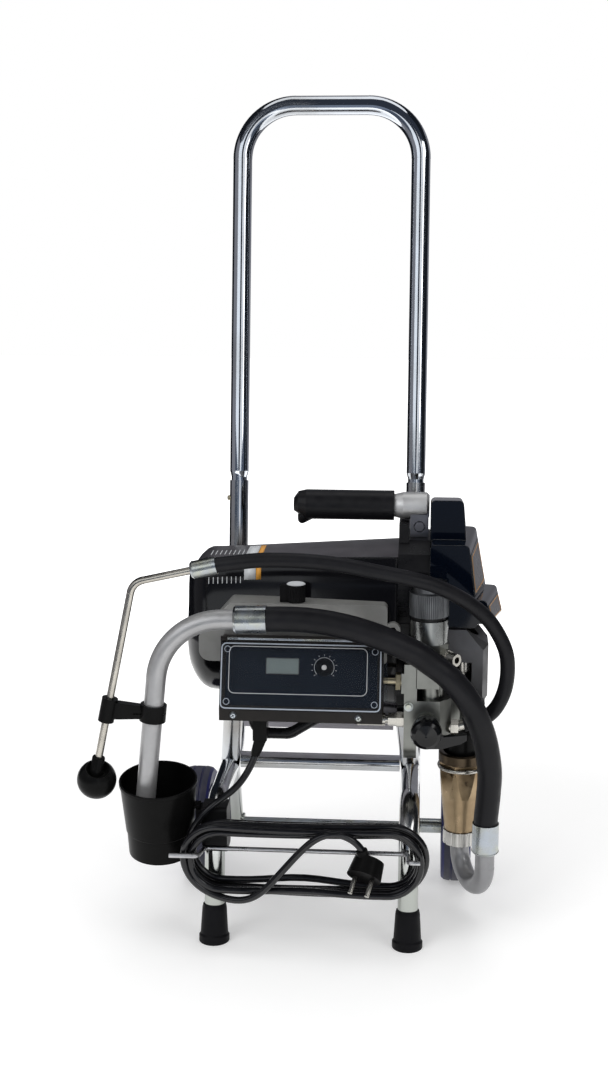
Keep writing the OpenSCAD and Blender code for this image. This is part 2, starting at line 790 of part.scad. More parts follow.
module front_cover() {
    color("#101014") difference() {
        front_cover_form(0);
        front_cover_form(cover_wall);
        translate([gear_x - 40, 0, 200]) cube([40 + seat, 300, 300]);
    }
}

// Grey trim panel on the flared right side of the front cover
module side_panel() {
    color("dimgray") difference() {
        hull() {
            for (p = [[167.5, 88, 412], [173.8, 88, 372], [178.4, 184, 404], [189, 184, 362]])
                translate([p[0] + 0.9, p[1], p[2]]) rotate([0, 90, 0]) cylinder(r = 3, h = 1.2, $fn = 16);
        }
        front_cover_form(-seat);
    }
}

// Cast bearing housing under the front cover; the pump hangs from it
mount_top = 336;
mount_low = 250;
window_d = 30;

module pump_mount() {
    x0 = gear_x + seat;
    x1 = 187;
    color("slategray") difference() {
        union() {
            hull() {
                translate([x0, gear_front_y + 4, mount_low + 26]) cube([40, 104, 56]);
                translate([x0 + 18, gear_front_y + 2, mount_low]) cube([x1 - x0 - 24, 52, 60]);
                translate([x1 - 6, gear_front_y + 14, mount_low + 6]) cube([6, 34, 58]);
            }
            translate([pump_x, pump_y, mount_low - 6]) cylinder(d = 48, h = 20);
            translate([x1 - 8, gear_front_y + 8, mount_low + 2]) rotate([90, 0, 0])
                cylinder(d = 10, h = 12);
        }
        translate([pump_x, pump_y, mount_low - 20]) cylinder(d = window_d, h = 30);
        translate([pump_x, pump_y, mount_low + 4]) cylinder(d = window_d, h = 100);
        translate([pump_x - 8, gear_front_y - 10, mount_low + 12]) cube([16, 40, 34]);
        translate([x1 - 1.6, gear_front_y + 26, mount_low + 10]) cube([10, 8, 46]);
        translate([x0 - 1, 0, mount_top]) cube([100, 300, 40]);
    }
}

// ======================================================================
// Pump
// ======================================================================

packing_nut_d = 42;
rod_low = 168;
rod_top = 288;
nut_top = mount_low - 6 - seat;
ring_low = 168;
ring_top = 188;
intake_top = 176;

// Rod that the drive pushes up and down, with its head in the bearing housing
module displacement_rod() {
    color("silver") translate([pump_x, pump_y, 0]) {
        translate([0, 0, rod_low]) cylinder(d = rod_d, h = rod_top - rod_low);
        translate([0, 0, rod_top - 6]) cylinder(d = window_d - 6, h = 14);
    }
}

// Cylinder with its black packing nut on top
module pump_cylinder() {
    color("#1c1c22") translate([pump_x, pump_y, 0]) {
        difference() {
            union() {
                translate([0, 0, nut_top - 32]) cylinder(d = packing_nut_d, h = 32);
                translate([0, 0, nut_top - 32]) cylinder(d = 46, h = 6);
                translate([0, 0, intake_top + seat]) cylinder(d = cylinder_d,
                    h = nut_top - 32 - intake_top);
            }
            translate([0, 0, 100]) cylinder(d = rod_d + 2 * rod_play, h = 200);
        }
    }
}

// Lock ring at the top of the intake housing, and the knurled suction nut below it
module pump_nuts() {
    color("silver") translate([pump_x, pump_y, 0]) {
        translate([0, 0, ring_low]) rotate_extrude() polygon([
            [lock_ring_d / 2 - 7, intake_top - ring_low + seat], [lock_ring_d / 2 - 5, ring_top - ring_low],
            [lock_ring_d / 2 - 1.5, ring_top - ring_low], [lock_ring_d / 2, ring_top - ring_low - 1.5],
            [lock_ring_d / 2, 9], [lock_ring_d / 2 - 1.5, intake_top - ring_low + seat]]);
        difference() {
            translate([0, 0, suction_nut_h]) cylinder(d = suction_nut_d, h = 15.5);
            translate([0, 0, suction_nut_h - 1]) cylinder(d = suction_tube_d + 2 * seat, h = 40);
            translate([0, 0, suction_nut_h + 6]) cylinder(d = 33 + 2 * seat, h = 40);
            for (k = [0 : 11]) rotate([0, 0, 30 * k]) translate([suction_nut_d / 2 + 0.9, 0,
                suction_nut_h - 1]) cylinder(d = 4, h = 40, $fn = 16);
        }
    }
}

// Hexagonal intake housing that tapers to the suction nut
module intake_housing() {
    low = suction_nut_h + 7;
    hex = intake_af / cos(30);
    color("tan") translate([pump_x, pump_y, 0]) difference() {
        union() {
            translate([0, 0, 136]) intersection() {
                rotate([0, 0, 12]) cylinder(d = hex, h = intake_top - 136, $fn = 6);
                translate([0, 0, 0]) cylinder(d1 = intake_af + 0.5, d2 = intake_af + 6.5,
                    h = intake_top - 136);
            }
            translate([0, 0, suction_nut_h + 16]) cylinder(d1 = 35, d2 = intake_af,
                h = 120.5 - suction_nut_h);
            translate([0, 0, low]) cylinder(d = 33, h = 20);
        }
        translate([0, 0, low - 1]) cylinder(d = 16, h = 34);
        translate([0, 0, low + 30]) cylinder(d = cylinder_d - 8, h = 80);
    }
}

// ======================================================================
// Suction side
// ======================================================================

elbow_far = [pump_x, pump_y];
elbow_near = [187, 40];
elbow_bend_r = norm(elbow_near - elbow_far) / 2;
elbow_turn_h = 75;
ferrule_h = 92;
ferrule_lip = 2.5;

module suction_elbow() {
    id = suction_tube_d - 2 * suction_wall;
    color("gainsboro") {
        translate([(elbow_far[0] + elbow_near[0]) / 2, (elbow_far[1] + elbow_near[1]) / 2, elbow_turn_h])
            rotate([90, 0, atan2(elbow_far[1] - elbow_near[1], elbow_far[0] - elbow_near[0])])
                rotate([0, 0, 180]) rotate_extrude(angle = 180) translate([elbow_bend_r, 0])
                    difference() {
                        circle(d = suction_tube_d + swell);
                        circle(d = id - swell);
                    }
        translate([elbow_far[0], elbow_far[1], elbow_turn_h - lap])
            ring(suction_tube_d, id, suction_nut_h + 6.9 + lap - elbow_turn_h);
        translate([elbow_near[0], elbow_near[1], elbow_turn_h - lap])
            ring(suction_tube_d, id, ferrule_h + ferrule_lip + 1 + lap - elbow_turn_h);
    }
}

// Crimped sleeve from a up to the hose at b
module ferrule(a, b, od, bore) {
    len = norm(b - a);
    aim(a, b) difference() {
        union() {
            cylinder(d1 = od - 3, d2 = od + 1, h = ferrule_lip);
            translate([0, 0, ferrule_lip]) cylinder(d = od, h = len - ferrule_lip);
        }
        translate([0, 0, -1]) cylinder(d = bore + 2 * seat, h = ferrule_lip + 2);
        translate([0, 0, ferrule_lip + 1 + seat]) cylinder(d = od - 2, h = len);
    }
}

suction_ferrule_d = suction_hose_d + 2;
lower_ferrule_a = [elbow_near[0], elbow_near[1], ferrule_h];
lower_ferrule_b = lower_ferrule_a + [0, 0, ferrule_len];
upper_ferrule_b = [-46, 0, 360.5];
suction_drop = 2;
upper_ferrule_a = upper_ferrule_b - ferrule_len * [cos(suction_drop), 0, sin(suction_drop)];
drain_ferrule_a = [-123, -6, 412.5];
drain_run = unit(drain_ferrule_a - drain_top);
drain_ferrule_b = drain_ferrule_a + drain_run * drain_ferrule_len;
drain_ferrule_d = drain_hose_d + 2.5;

module hose_ferrules() {
    color("silver") {
        ferrule(lower_ferrule_a, lower_ferrule_b, suction_ferrule_d, suction_tube_d);
        ferrule(upper_ferrule_a, upper_ferrule_b, suction_ferrule_d, suction_tube_d);
        ferrule(drain_ferrule_a, drain_ferrule_b, drain_ferrule_d, drain_tube_d);
    }
}

// The hoses start and end inside their ferrules, on the lips' faces
hose_in = ferrule_lip + 1.4;
suction_route = [lower_ferrule_a + [0, 0, hose_in], [187, 40, 112], [187, 40, 130], [189, 37, 160],
    [189, 31, 192],
    [181, 21, 234], [165, 11, 272], [145, 5, 299], [124, 3, 316], [105, 1, 329], [67, -3, 346],
    [30, -2, 356], [-8, 0, 360.5], upper_ferrule_b,
    upper_ferrule_b + 0.5 * (upper_ferrule_a - upper_ferrule_b),
    upper_ferrule_a + hose_in * [cos(suction_drop), 0, sin(suction_drop)]];
drain_start = [161, 47, 235];
drain_route = [drain_start, [178, 48, 240], [193, 47, 252], [203, 46, 273], [206, 45, 298],
    [202, 41, 323], [186, 33, 353], [163, 22, 376], [133, 9, 395], [106, 2, 405], [66, -3, 414],
    [29, -5, 421], [-8, -6, 424.5], [-50, -6, 424.5], [-80, -6, 421], drain_ferrule_b,
    drain_ferrule_a + drain_run * hose_in];
drain_path = smooth_path(drain_route, 32);
drain_out = unit(drain_path[1] - drain_path[0]);

module suction_hose() {
    color("#1a1a1c") sweep(smooth_path(suction_route, 28), suction_hose_d - 0.6, 12, [0, 1, 0]);
}

module drain_hose() {
    color("#1a1a1c") sweep(drain_path, drain_hose_d - 0.2, 10, [0, 1, 0]);
}

// Suction tube: level from the ferrule, then down into the drip cup
suction_plane_y = 0;
suction_corner = [-156.5, upper_ferrule_a[2] - tan(suction_drop) * (156.5 + upper_ferrule_a[0])];
suction_foot = [-178.5, 145];
suction_start = [upper_ferrule_a[0] + ferrule_lip + 0.8, upper_ferrule_a[2]
    + tan(suction_drop) * (ferrule_lip + 0.8)];
suction_bend_r = 72;

module suction_tube() {
    color("gainsboro") front_plane(suction_plane_y)
        bent_pipe([suction_start, suction_corner, suction_foot], suction_bend_r, suction_tube_d,
            suction_tube_d - 2 * suction_wall);
}

suction_down = unit(suction_foot - suction_corner);
strainer_top = suction_foot - suction_down * 6;
strainer_end = strainer_top + suction_down * 16;

// Slotted plastic strainer pushed on the suction tube's end
module strainer() {
    a = [strainer_end[0], suction_plane_y, strainer_end[1]];
    b = [strainer_top[0], suction_plane_y, strainer_top[1]];
    color("#303030") aim(a, b) difference() {
        cylinder(d = strainer_d, h = norm(b - a));
        translate([0, 0, 10 - seat]) cylinder(d = suction_tube_d + 2 * seat, h = 40);
        translate([0, 0, 2]) cylinder(d = suction_tube_d - 3, h = 40);
        for (k = [0 : 3]) rotate([0, 0, 45 * k]) translate([-20, -1, 3]) cube([40, 2, 5]);
    }
}

// Drain tube: slopes down from its ferrule, then runs down beside the suction tube
module drain_tube() {
    start = drain_ferrule_a + drain_run * (ferrule_lip + 0.8);
    end = drain_end + drain_aim * 8;
    color("silver") front_plane(drain_end[1]) bent_pipe([[start[0], start[2]],
        [drain_top[0], drain_top[2]], [end[0], end[2]]], 18, drain_tube_d, drain_tube_d - 2);
}

// Plastic neck and bell that spread the drained paint
module diffuser() {
    low = bell_len + 6;
    color("#101010") aim(drain_end, drain_end + drain_aim) difference() {
        rotate_extrude() polygon([[0, -4], [6.2, -4], [6.8, 0], [6.8, 8], [10, 9], [12, 11],
            [17, 12.5], [21, 17], [diffuser_r, low], [diffuser_r - 2, low], [19, 19], [15, 15],
            [0, 14]]);
        translate([0, 0, -5]) cylinder(d = drain_tube_d + 2 * seat, h = 14);
        translate([0, 0, -5]) cylinder(d = drain_tube_d - 2, h = 30);
    }
}

// Clip that holds the drain tube to the suction tube
clip_h = 256;

function suction_at(z) = [suction_corner[0] + (z - suction_corner[1]) * suction_down[0]
    / suction_down[1], suction_plane_y, z];
function drain_at(z) = drain_end + drain_aim * (z - drain_end[2]) / drain_aim[2];

module tube_clip() {
    s = suction_at(clip_h);
    d = drain_at(clip_h + 4);
    s_aim = [suction_down[0], 0, suction_down[1]];
    color("#181818") difference() {
        union() {
            bar(s + s_aim * 9, s - s_aim * 9, suction_tube_d + 7);
            bar(d + drain_aim * 13, d - drain_aim * 13, drain_tube_d + 9);
            hull() {
                translate(mix(s, d, 0.32) - [3, 5, 7]) cube([6, 10, 14]);
                translate(mix(s, d, 0.82) - [3, 5, 9]) cube([6, 10, 18]);
            }
        }
        bar(s + s_aim * 40, s - s_aim * 40, suction_tube_d + 2 * seat);
        bar(d + drain_aim * 40, d - drain_aim * 40, drain_tube_d + 2 * seat);
        translate(s + [-20, -8, -0.6]) cube([40, 40, 1.2]);
        translate(d + [-14, -16, -6]) cube([12, 7, 12]);
    }
}

// ======================================================================
// Drip cup and its hanger
// ======================================================================

cup_rim = [-165, 10, 177];

// The cup's own frame: Z runs up its axis from the middle of its floor
module at_cup() {
    translate(cup_rim) rotate([cup_tilt, 0, 0]) translate([0, 0, -cup_tall]) children();
}

tongue_w = 12;
tongue_t = 2.5;
tongue_x = cup_rim_d / 2 + 0.6;
tongue_h = 57;
tongue_len = 17;

module drip_cup() {
    r0 = cup_floor_d / 2;
    r1 = cup_rim_d / 2;
    color("#0e0e0e") at_cup() {
        rotate_extrude() polygon([[0, 0], [r0, 0], [r0 + 1, 27], [r0 + 2, 28], [r1 - 1, cup_tall - 4],
            [r1, cup_tall - 4], [r1, cup_tall], [r1 - cup_wall, cup_tall],
            [r0 - cup_wall + 1, cup_wall], [0, cup_wall]]);
        translate([r0 + 2.6, -tongue_w / 2, tongue_h - 3]) cube([tongue_x + tongue_t - r0 - 2.6,
            tongue_w, 3]);
        translate([tongue_x, -tongue_w / 2, tongue_h - tongue_len]) cube([tongue_t, tongue_w,
            tongue_len]);
    }
}

// Plastic saddle on the left leg's bend, with a pocket for the cup's tongue
module cup_hanger() {
    x0 = -half_track - 12;
    color("#181818") difference() {
        union() {
            hull() {
                for (y = [1, 24]) for (z = [105, 147]) translate([x0, y, z]) rotate([0, 90, 0])
                    cylinder(r = 4, h = 27, $fn = 24);
            }
            at_cup() translate([tongue_x - 2, -tongue_w / 2 - 2.6, tongue_h - tongue_len - 3.4])
                cube([tongue_t + 6, tongue_w + 5.2, tongue_len]);
        }
        mirror([1, 0, 0]) side_plane(half_track)
            bent_pipe(side_path, side_bend_r, tube_d + 2 * seat, 0);
        at_cup() translate([tongue_x - move_gap, -tongue_w / 2 - move_gap,
            tongue_h - tongue_len - move_gap])
            cube([tongue_t + 2 * move_gap, tongue_w + 2 * move_gap, 60]);
        translate([x0 + 8, -40, 125]) rotate([-90, 0, 0]) cylinder(d = 3, h = 48);
        translate([x0 - 10, hook_y - 20, hook_h - hook_r - move_gap])
            cube([60, 20 + hook_r + move_gap, hook_d + 4 * move_gap]);
    }
}

// ======================================================================
// Manifold, filter and prime valve
// ======================================================================

bowl_top = cap_h - 4;
bowl_low = 328;
block_front = 28;
block_low = 226;
block_mid = 266;

module manifold() {
    x0 = filter_x - 12;
    x1 = filter_x + 25;
    mid = filter_bowl_d / 2;
    bevel = 9;
    color("darkgray") difference() {
        union() {
            translate([filter_x, filter_y, block_mid + 14]) linear_extrude(bowl_low - block_mid - 14)
                polygon([[-mid, bevel - body_front], [bevel - mid, -body_front], [mid - bevel, -body_front],
                    [mid, bevel - body_front], [mid, mid + 4], [-mid, mid + 4]]);
            translate([filter_x + 4, filter_y + 2, block_mid - 1]) cylinder(d = 25, h = 20);
            translate([0, 0, block_low]) linear_extrude(block_mid - block_low) polygon([
                [x0, block_front], [x1 - 12, block_front], [x1, block_front + 14], [x1, 60],
                [pump_x - 4, 66], [pump_x + 10, 70], [pump_x + 14, pump_y - 4], [pump_x - 16, pump_y - 4],
                [x0 + 18, 70], [x0, 70]]);
            side_plane(x0 - 13) linear_extrude(13.5) {
                translate([block_front, 217]) square([42, 89]);
                translate([block_front + 21, 217]) circle(r = 21);
            }
            translate([x0 - 16, block_front, sensor_h - 11]) cube([10, 22, 22]);
        }
        translate([pump_x, pump_y, block_low - 5]) cylinder(d = packing_nut_d + 2 * seat, h = 60);
        translate([pump_x - 40, gear_front_y - 3, nut_top]) cube([60, 60, 40]);
        translate([filter_x, filter_y, bowl_low - 30]) cylinder(d = 20, h = 60);
        translate([filter_x - 1, block_front - 10, block_low + 15]) rotate([-90, 0, 0])
            cylinder(d = 12 + 2 * seat, h = 26);
        translate([x1 - 30, filter_y, block_low + 7]) rotate([0, 90, 0])
            cylinder(d = 10 + 2 * seat, h = 60);
        translate([x0 - 30, filter_y + 4, block_low + 12]) rotate([0, 90, 0])
            cylinder(d = 10 + 2 * seat, h = 40);
        translate([x0 - 40, sensor_y, sensor_h]) rotate([0, 90, 0])
            cylinder(d = 10 + 2 * seat, h = 44);
        outlet_aim() translate([0, 0, -9]) cylinder(d = outlet_d + 2 * seat, h = 20);
    }
}

// The outlet's own frame: Z points out of the manifold, to the right and forward
outlet_yaw = -45;
body_front = filter_bowl_d / 2 - 3;
outlet_root = [filter_x + filter_bowl_d / 2 - 4.5, filter_y - body_front + 4.5, 315];
outlet_hex = 7;
outlet_thread = 12;

module outlet_aim() {
    translate(outlet_root) rotate([0, 90, outlet_yaw]) children();
}

module outlet_nipple() {
    color("silver") outlet_aim() difference() {
        union() {
            translate([0, 0, -8]) cylinder(d = outlet_d, h = 8 + outlet_hex + outlet_thread);
            translate([0, 0, seat]) hex_bar(15, outlet_hex - seat);
        }
        translate([0, 0, -10]) cylinder(d = outlet_bore_d, h = 50);
    }
}

module filter_bowl() {
    color("silver") translate([filter_x, filter_y, 0]) difference() {
        union() {
            translate([0, 0, bowl_low + seat]) cylinder(d = filter_bowl_d, h = bowl_top - bowl_low - seat);
            translate([0, 0, bowl_top - 1]) cylinder(d = 31, h = 19);
        }
        translate([0, 0, bowl_low + 3]) cylinder(d = 24, h = 80);
        translate([0, 0, bowl_low - 1]) cylinder(d = 14, h = 20);
    }
}

// Ring that the cap squeezes on the bowl; it rises with the cap
module filter_seal() {
    color("#080808") translate([filter_x, filter_y, bowl_top + seat])
        ring(37, 31 + 2 * move_gap, cap_h - bowl_top - 2 * seat);
}

module filter_cap() {
    r = filter_cap_d / 2;
    color("dimgray") translate([filter_x, filter_y, 0]) difference() {
        union() {
            translate([0, 0, cap_h]) linear_extrude(25) difference() {
                circle(r = r);
                for (k = [0 : cap_ridges - 1]) rotate(360 / cap_ridges * k) translate([r + 0.25, 0])
                    circle(d = 1.5, $fn = 4);
            }
            translate([0, 0, cap_h + 25]) cylinder(d1 = filter_cap_d - 1.8, d2 = filter_cap_d - 4, h = 1.5);
            translate([0, 0, cap_h + 26.5]) cylinder(d = filter_cap_d - 5, h = 9);
        }
        translate([0, 0, cap_h - 1]) cylinder(d = 31 + 2 * move_gap, h = 20);
        translate([11, 0, cap_h + 32]) cylinder(d = 9, h = 10);
    }
}

// Fine mesh tube inside the bowl
module filter_element() {
    color("orange") translate([filter_x, filter_y, bowl_low + 3 + seat])
        ring(19, 15, bowl_top + 14 - bowl_low);
}

// Pressure sensor between the manifold and the control box
module transducer() {
    x0 = box_x + box_w + seat;
    x1 = filter_x - 28 - seat;
    color("khaki") {
        bar([x0, sensor_y, sensor_h], [filter_x - 12, sensor_y, sensor_h], 7);
        bar([filter_x - 26, sensor_y, sensor_h], [filter_x - 10, sensor_y, sensor_h], 10);
        translate([x1 - 6, sensor_y, sensor_h]) rotate([0, 90, 0]) rotate([0, 0, 30]) hex_bar(17, 5);
        translate([x1 - 1, sensor_y, sensor_h]) rotate([0, 90, 0]) cylinder(d = 11, h = 1);
    }
}

prime_axis = [filter_x - 1, block_front, block_low + 15];
prime_front = -12;

// Body of the prime valve, with the stem that its handle turns on
module prime_valve() {
    color("#3a3a3a") translate(prime_axis) rotate([90, 0, 0]) {
        translate([0, 0, seat]) cylinder(d = 26, h = 4);
        translate([0, 0, 4]) cylinder(d1 = 25, d2 = 21, h = 9);
        translate([0, 0, 12]) cylinder(d = 9, h = 16);
        translate([0, 0, -14]) cylinder(d = 12, h = 15);
    }
}

// Round black knob with a side lever
module prime_handle() {
    r = prime_knob_d / 2;
    reach = 42;
    color("#0c0c0c") translate([prime_axis[0], 0, prime_axis[2]]) rotate([90, 0, 0]) difference() {
        union() {
            translate([0, 0, -12]) cylinder(d = prime_knob_d - 3, h = 12);
            rotate_extrude() polygon([[0, -2], [r, -2], [r, 5], [r - 1.5, 9], [r - 5, 11.5], [0, 12.5]]);
            linear_extrude(7) polygon([[0, -r + 1], [16, -15], [reach - 6, -9], [reach, -5],
                [reach, 1], [reach - 8, 0], [18, -2], [8, 8]]);
        }
        translate([0, 0, -13]) cylinder(d = 9 + 2 * rod_play, h = 13.4);
    }
}

// Elbow for the drain hose, and the fittings of the short pressure hose
module fluid_fittings() {
    x1 = filter_x + 25 + seat;
    z = block_low + 7;
    knee = drain_start - drain_out * 6.5;
    hose_y = filter_y + 4;
    hose_z = block_low + 12;
    x0 = filter_x - 25 - seat;
    color("silver") {
        bar([x1 - 12, filter_y, z], [x1 + 1, filter_y, z], 10);
        translate([x1, filter_y, z]) rotate([0, 90, 0]) hex_bar(15, 8);
        bar([x1 + 7, filter_y, z], knee, 11);
        translate(knee) sphere(d = 11.4);
        bar(knee, drain_start - drain_out * seat, 11);
        bar([x0 + 12, hose_y, hose_z], [x0 - 1, hose_y, hose_z], 10);
        translate([x0 - 8, hose_y, hose_z]) rotate([0, 90, 0]) hex_bar(15, 8);
        translate([x0 - 17, hose_y, hose_z]) rotate([0, 90, 0]) hex_bar(13, 9.5);
        translate([x0 - 20, hose_y, hose_z]) rotate([0, 90, 0]) cylinder(d = 9, h = 4);
        translate([x0 - 50, hose_y, hose_z]) rotate([0, 90, 0])
            ring(pressure_hose_d + 2, pressure_hose_d + 2 * seat, 27);
        translate([x0 - 23.5, hose_y, hose_z]) rotate([0, 90, 0])
            cylinder(d = pressure_hose_d + 2, h = 3.6);
    }
}

// Short hose from the manifold back up into the control box
module pressure_hose() {
    x0 = filter_x - 25 - seat;
    z0 = block_low + 12;
    color("#141414") front_plane(filter_y + 4 - 15) translate([0, 0, -15])
        bent_pipe([[x0 - 24, z0], [4, z0], [-26, 219], [-66, 219], [-66, box_h - seat]], 18,
            pressure_hose_d, 0);
}

// ======================================================================
// Control box
// ======================================================================

lip_h = box_h + box_lip;
face_rise = box_top - lip_h;
face_len = norm([box_slope, face_rise]);
face_angle = atan2(face_rise, box_slope);
box_mid_x = box_x + box_w / 2;

// The sloping face's own frame: Y runs up the face, Z stands out of it
module on_face() {
    translate([box_mid_x, 0, lip_h]) rotate([face_angle, 0, 0]) children();
}

module box_profile(in) {
    polygon([[in, box_h + in], [in, lip_h], [box_slope + in * 1.05, box_top - in],
        [box_back_y - in, box_top - in], [box_back_y - in, box_h + in]]);
}

hinge_r = 3;
hinge_up = face_len + 1.5;
hinge_out = 4;
knuckle_w = 10;
window_w = box_w - 12;
window_low = 5;
window_high = face_len - 7;

module control_box() {
    color("#181818") {
        difference() {
            side_plane(box_x) linear_extrude(box_w) box_profile(0);
            side_plane(box_x + box_wall) linear_extrude(box_w - 2 * box_wall) box_profile(box_wall);
            on_face() translate([-window_w / 2, window_low, -8])
                cube([window_w, window_high - window_low, 10]);
            for (x = [-box_w / 2 + 15, box_w / 2 - 25]) translate([box_mid_x + x, -5, box_h + 6])
                rotate([-90, 0, 0]) cylinder(d = 4 + 2 * seat, h = 20);
            translate([-56, 24, box_h - 1]) cylinder(d = 12, h = 10);
            translate([-66, filter_y + 4, box_h - 1]) cylinder(d = 10, h = 10);
            translate([box_x + box_w - 10, sensor_y, sensor_h]) rotate([0, 90, 0])
                cylinder(d = 4, h = 20);
        }
        for (s = [-1, 1]) on_face() translate([s * (box_w / 2 - 4), hinge_up, hinge_out])
            rotate([90, 0, 90]) linear_extrude(7, center = true) difference() {
                union() {
                    circle(r = hinge_r);
                    translate([-2.5, -hinge_out - 1]) square([5, hinge_out + 1]);
                }
                circle(d = hinge_pin_d + 2 * seat);
            }
    }
}

// Printed panel behind the sloping opening, with its display window
display_x = -31 - (box_x + box_w / 2);
display_y = 47;
button_x = 13 - (box_x + box_w / 2);
button_y = 46.5;

module control_panel() {
    color("#1c2530") on_face() difference() {
        translate([-window_w / 2 + seat, window_low + seat, -3]) cube([window_w - 2 * seat,
            window_high - window_low - 2 * seat, 2.4]);
        translate([button_x, button_y, -10]) cylinder(d = button_d + 2 * move_gap, h = 20);
        translate([display_x - 17, display_y - 8, -1.6]) cube([34, 16, 5]);
    }
    color("darkseagreen") on_face() translate([display_x - 17 + seat, display_y - 8 + seat, -1.5])
        cube([34 - 2 * seat, 16 - 2 * seat, 1]);
    color("#101010") on_face() translate([-window_w / 2 + 6, window_low + 4, -7])
        cube([window_w - 12, window_high - window_low - 8, 4 - seat - 0.9]);
}

module panel_button() {
    color("#20242c") on_face() translate([button_x, button_y, -2.2]) {
        cylinder(d = button_d, h = 2.6);
        cylinder(d = 3, h = 3);
    }
}

// Clear tray-shaped cover, hinged along its top edge
module clear_cover() {
    w = box_w - 2;
    h = face_len - 2;
    color("lightblue", 0.4) on_face() difference() {
        union() {
            difference() {
                translate([-w / 2, 0, move_gap]) cube([w, h, clear_depth]);
                translate([-w / 2 + clear_wall, clear_wall, move_gap - 1])
                    cube([w - 2 * clear_wall, h - 2 * clear_wall, clear_depth - clear_wall + 1]);
            }
            for (s = [-1, 1]) translate([s * (box_w / 2 - 13.5), hinge_up, hinge_out]) {
                rotate([0, 90, 0]) cylinder(r = hinge_r, h = knuckle_w, center = true);
                translate([-knuckle_w / 2, -4.5, -0.5]) cube([knuckle_w, 4.5, 3.5]);
            }
            translate([w / 2 - 1, 12, 2]) cube([7, 40, 3]);
        }
        for (s = [-1, 1]) translate([s * (box_w / 2 - 13.5), hinge_up, hinge_out])
            rotate([0, 90, 0]) cylinder(d = hinge_pin_d + 2 * rod_play, h = 30, center = true);
    }
}

housing_top = 365;
housing_low = 300;

// Cast housing of the controls, between the control box and the motor cover
module control_housing() {
    y0 = box_back_y + seat;
    color("gray") difference() {
        union() {
            front_plane(y0 + 36) linear_extrude(36) hull() {
                translate([-88, housing_top - 5]) circle(r = 5, $fn = 32);
                translate([73, housing_top - 5]) circle(r = 5, $fn = 32);
                translate([73, housing_low + 5]) circle(r = 5, $fn = 32);
                translate([-112, housing_low + 12]) circle(r = 12, $fn = 32);
                translate([-119, 326]) circle(r = 5, $fn = 32);
            }
            translate([84, y0 + 8, 338]) rotate([90, 0, 0]) cylinder(d = 16, h = 8);
            translate([70, y0, 332]) cube([10, 8, 12]);
        }
        cover_form(-0.5);
        translate([84, y0 + 20, 338]) rotate([90, 0, 0]) cylinder(d = 7, h = 40);
        translate([knob_x, knob_y, housing_top - 14]) cylinder(d = 6 + 2 * rod_play, h = 30);
    }
}

knob_y = box_back_y + 11;

// Pressure knob with a pointer block and a round cap plate
module pressure_knob() {
    z = housing_top + move_gap;
    color("#161616") translate([knob_x, knob_y, z]) {
        translate([0, 0, -12]) cylinder(d = 6, h = 13);
        difference() {
            cylinder(d = knob_d, h = knob_tall);
            for (k = [0 : 17]) rotate([0, 0, 20 * k]) translate([knob_d / 2 + 0.4, 0, -1])
                cylinder(d = 1.8, h = knob_tall - 2, $fn = 8);
        }
        translate([-knob_d / 2 - 7, -5, 0]) cube([12, 10, knob_tall - 1]);
    }
    color("silver") translate([knob_x, knob_y, z + knob_tall - 0.2]) cylinder(d = knob_d - 2, h = 1);
}

// ======================================================================
// Carry handle
// ======================================================================

// Sand-cast bracket: a boss for the grip tube on a foot bolted to the drive housing
module carry_bracket() {
    y = grip_y;
    color("silver") difference() {
        union() {
            translate([grip_x_root, y, grip_h]) rotate([0, 90, 0]) cylinder(d1 = 25, d2 = 30, h = 10);
            translate([grip_x_root + 9.9, y, grip_h]) rotate([0, 90, 0]) cylinder(d = 30, h = 26);
            translate([grip_x_root + 35.8, y, grip_h]) rotate([0, 90, 0]) cylinder(d1 = 30, d2 = 24, h = 3);
            translate([gear_x - 22, y - 13, 422.2]) cube([20, 26, grip_h - 423]);
            translate([grip_x_end + 14, y, grip_h]) rotate([0, 90, 0])
                cylinder(d = grip_core_d, h = grip_x_root - grip_x_end - 10);
        }
        translate([gear_x - 12, y - 14, 434]) rotate([-90, 0, 0]) cylinder(d = 12.5, h = 6);
        translate([gear_x - 12, y - 10, 434]) rotate([-90, 0, 0]) cylinder(d = 6 + 2 * seat, h = 10);
    }
}

// Rubber grip with a rounded nose that turns down at its free end
module carry_grip() {
    color("#121212") difference() {
        union() {
            translate([grip_x_end + 14, grip_y, grip_h]) rotate([0, 90, 0])
                cylinder(d = grip_d, h = grip_x_root - grip_x_end - 14 - seat);
            hull() {
                translate([grip_x_end + 14, grip_y, grip_h]) rotate([0, 90, 0])
                    cylinder(d = grip_d, h = 1, $fn = 32);
                translate([grip_x_end + 5, grip_y, grip_h + 2]) rotate([0, 90, 0])
                    cylinder(d = grip_d - 8, h = 1, $fn = 32);
                translate([grip_x_end, grip_y, grip_h]) rotate([0, 90, 0])
                    cylinder(d = grip_d - 18, h = 1, $fn = 32);
            }
            hull() {
                translate([grip_x_end + 11, grip_y, grip_h - 13]) sphere(r = 7, $fn = 24);
                translate([grip_x_end + 9, grip_y, grip_h - 17]) sphere(r = 5, $fn = 24);
                translate([grip_x_end + 18, grip_y, grip_h - 10]) sphere(r = 7, $fn = 24);
            }
        }
        translate([grip_x_end + 14 - seat, grip_y, grip_h]) rotate([0, 90, 0])
            cylinder(d = grip_core_d + 2 * seat, h = 200);
    }
}

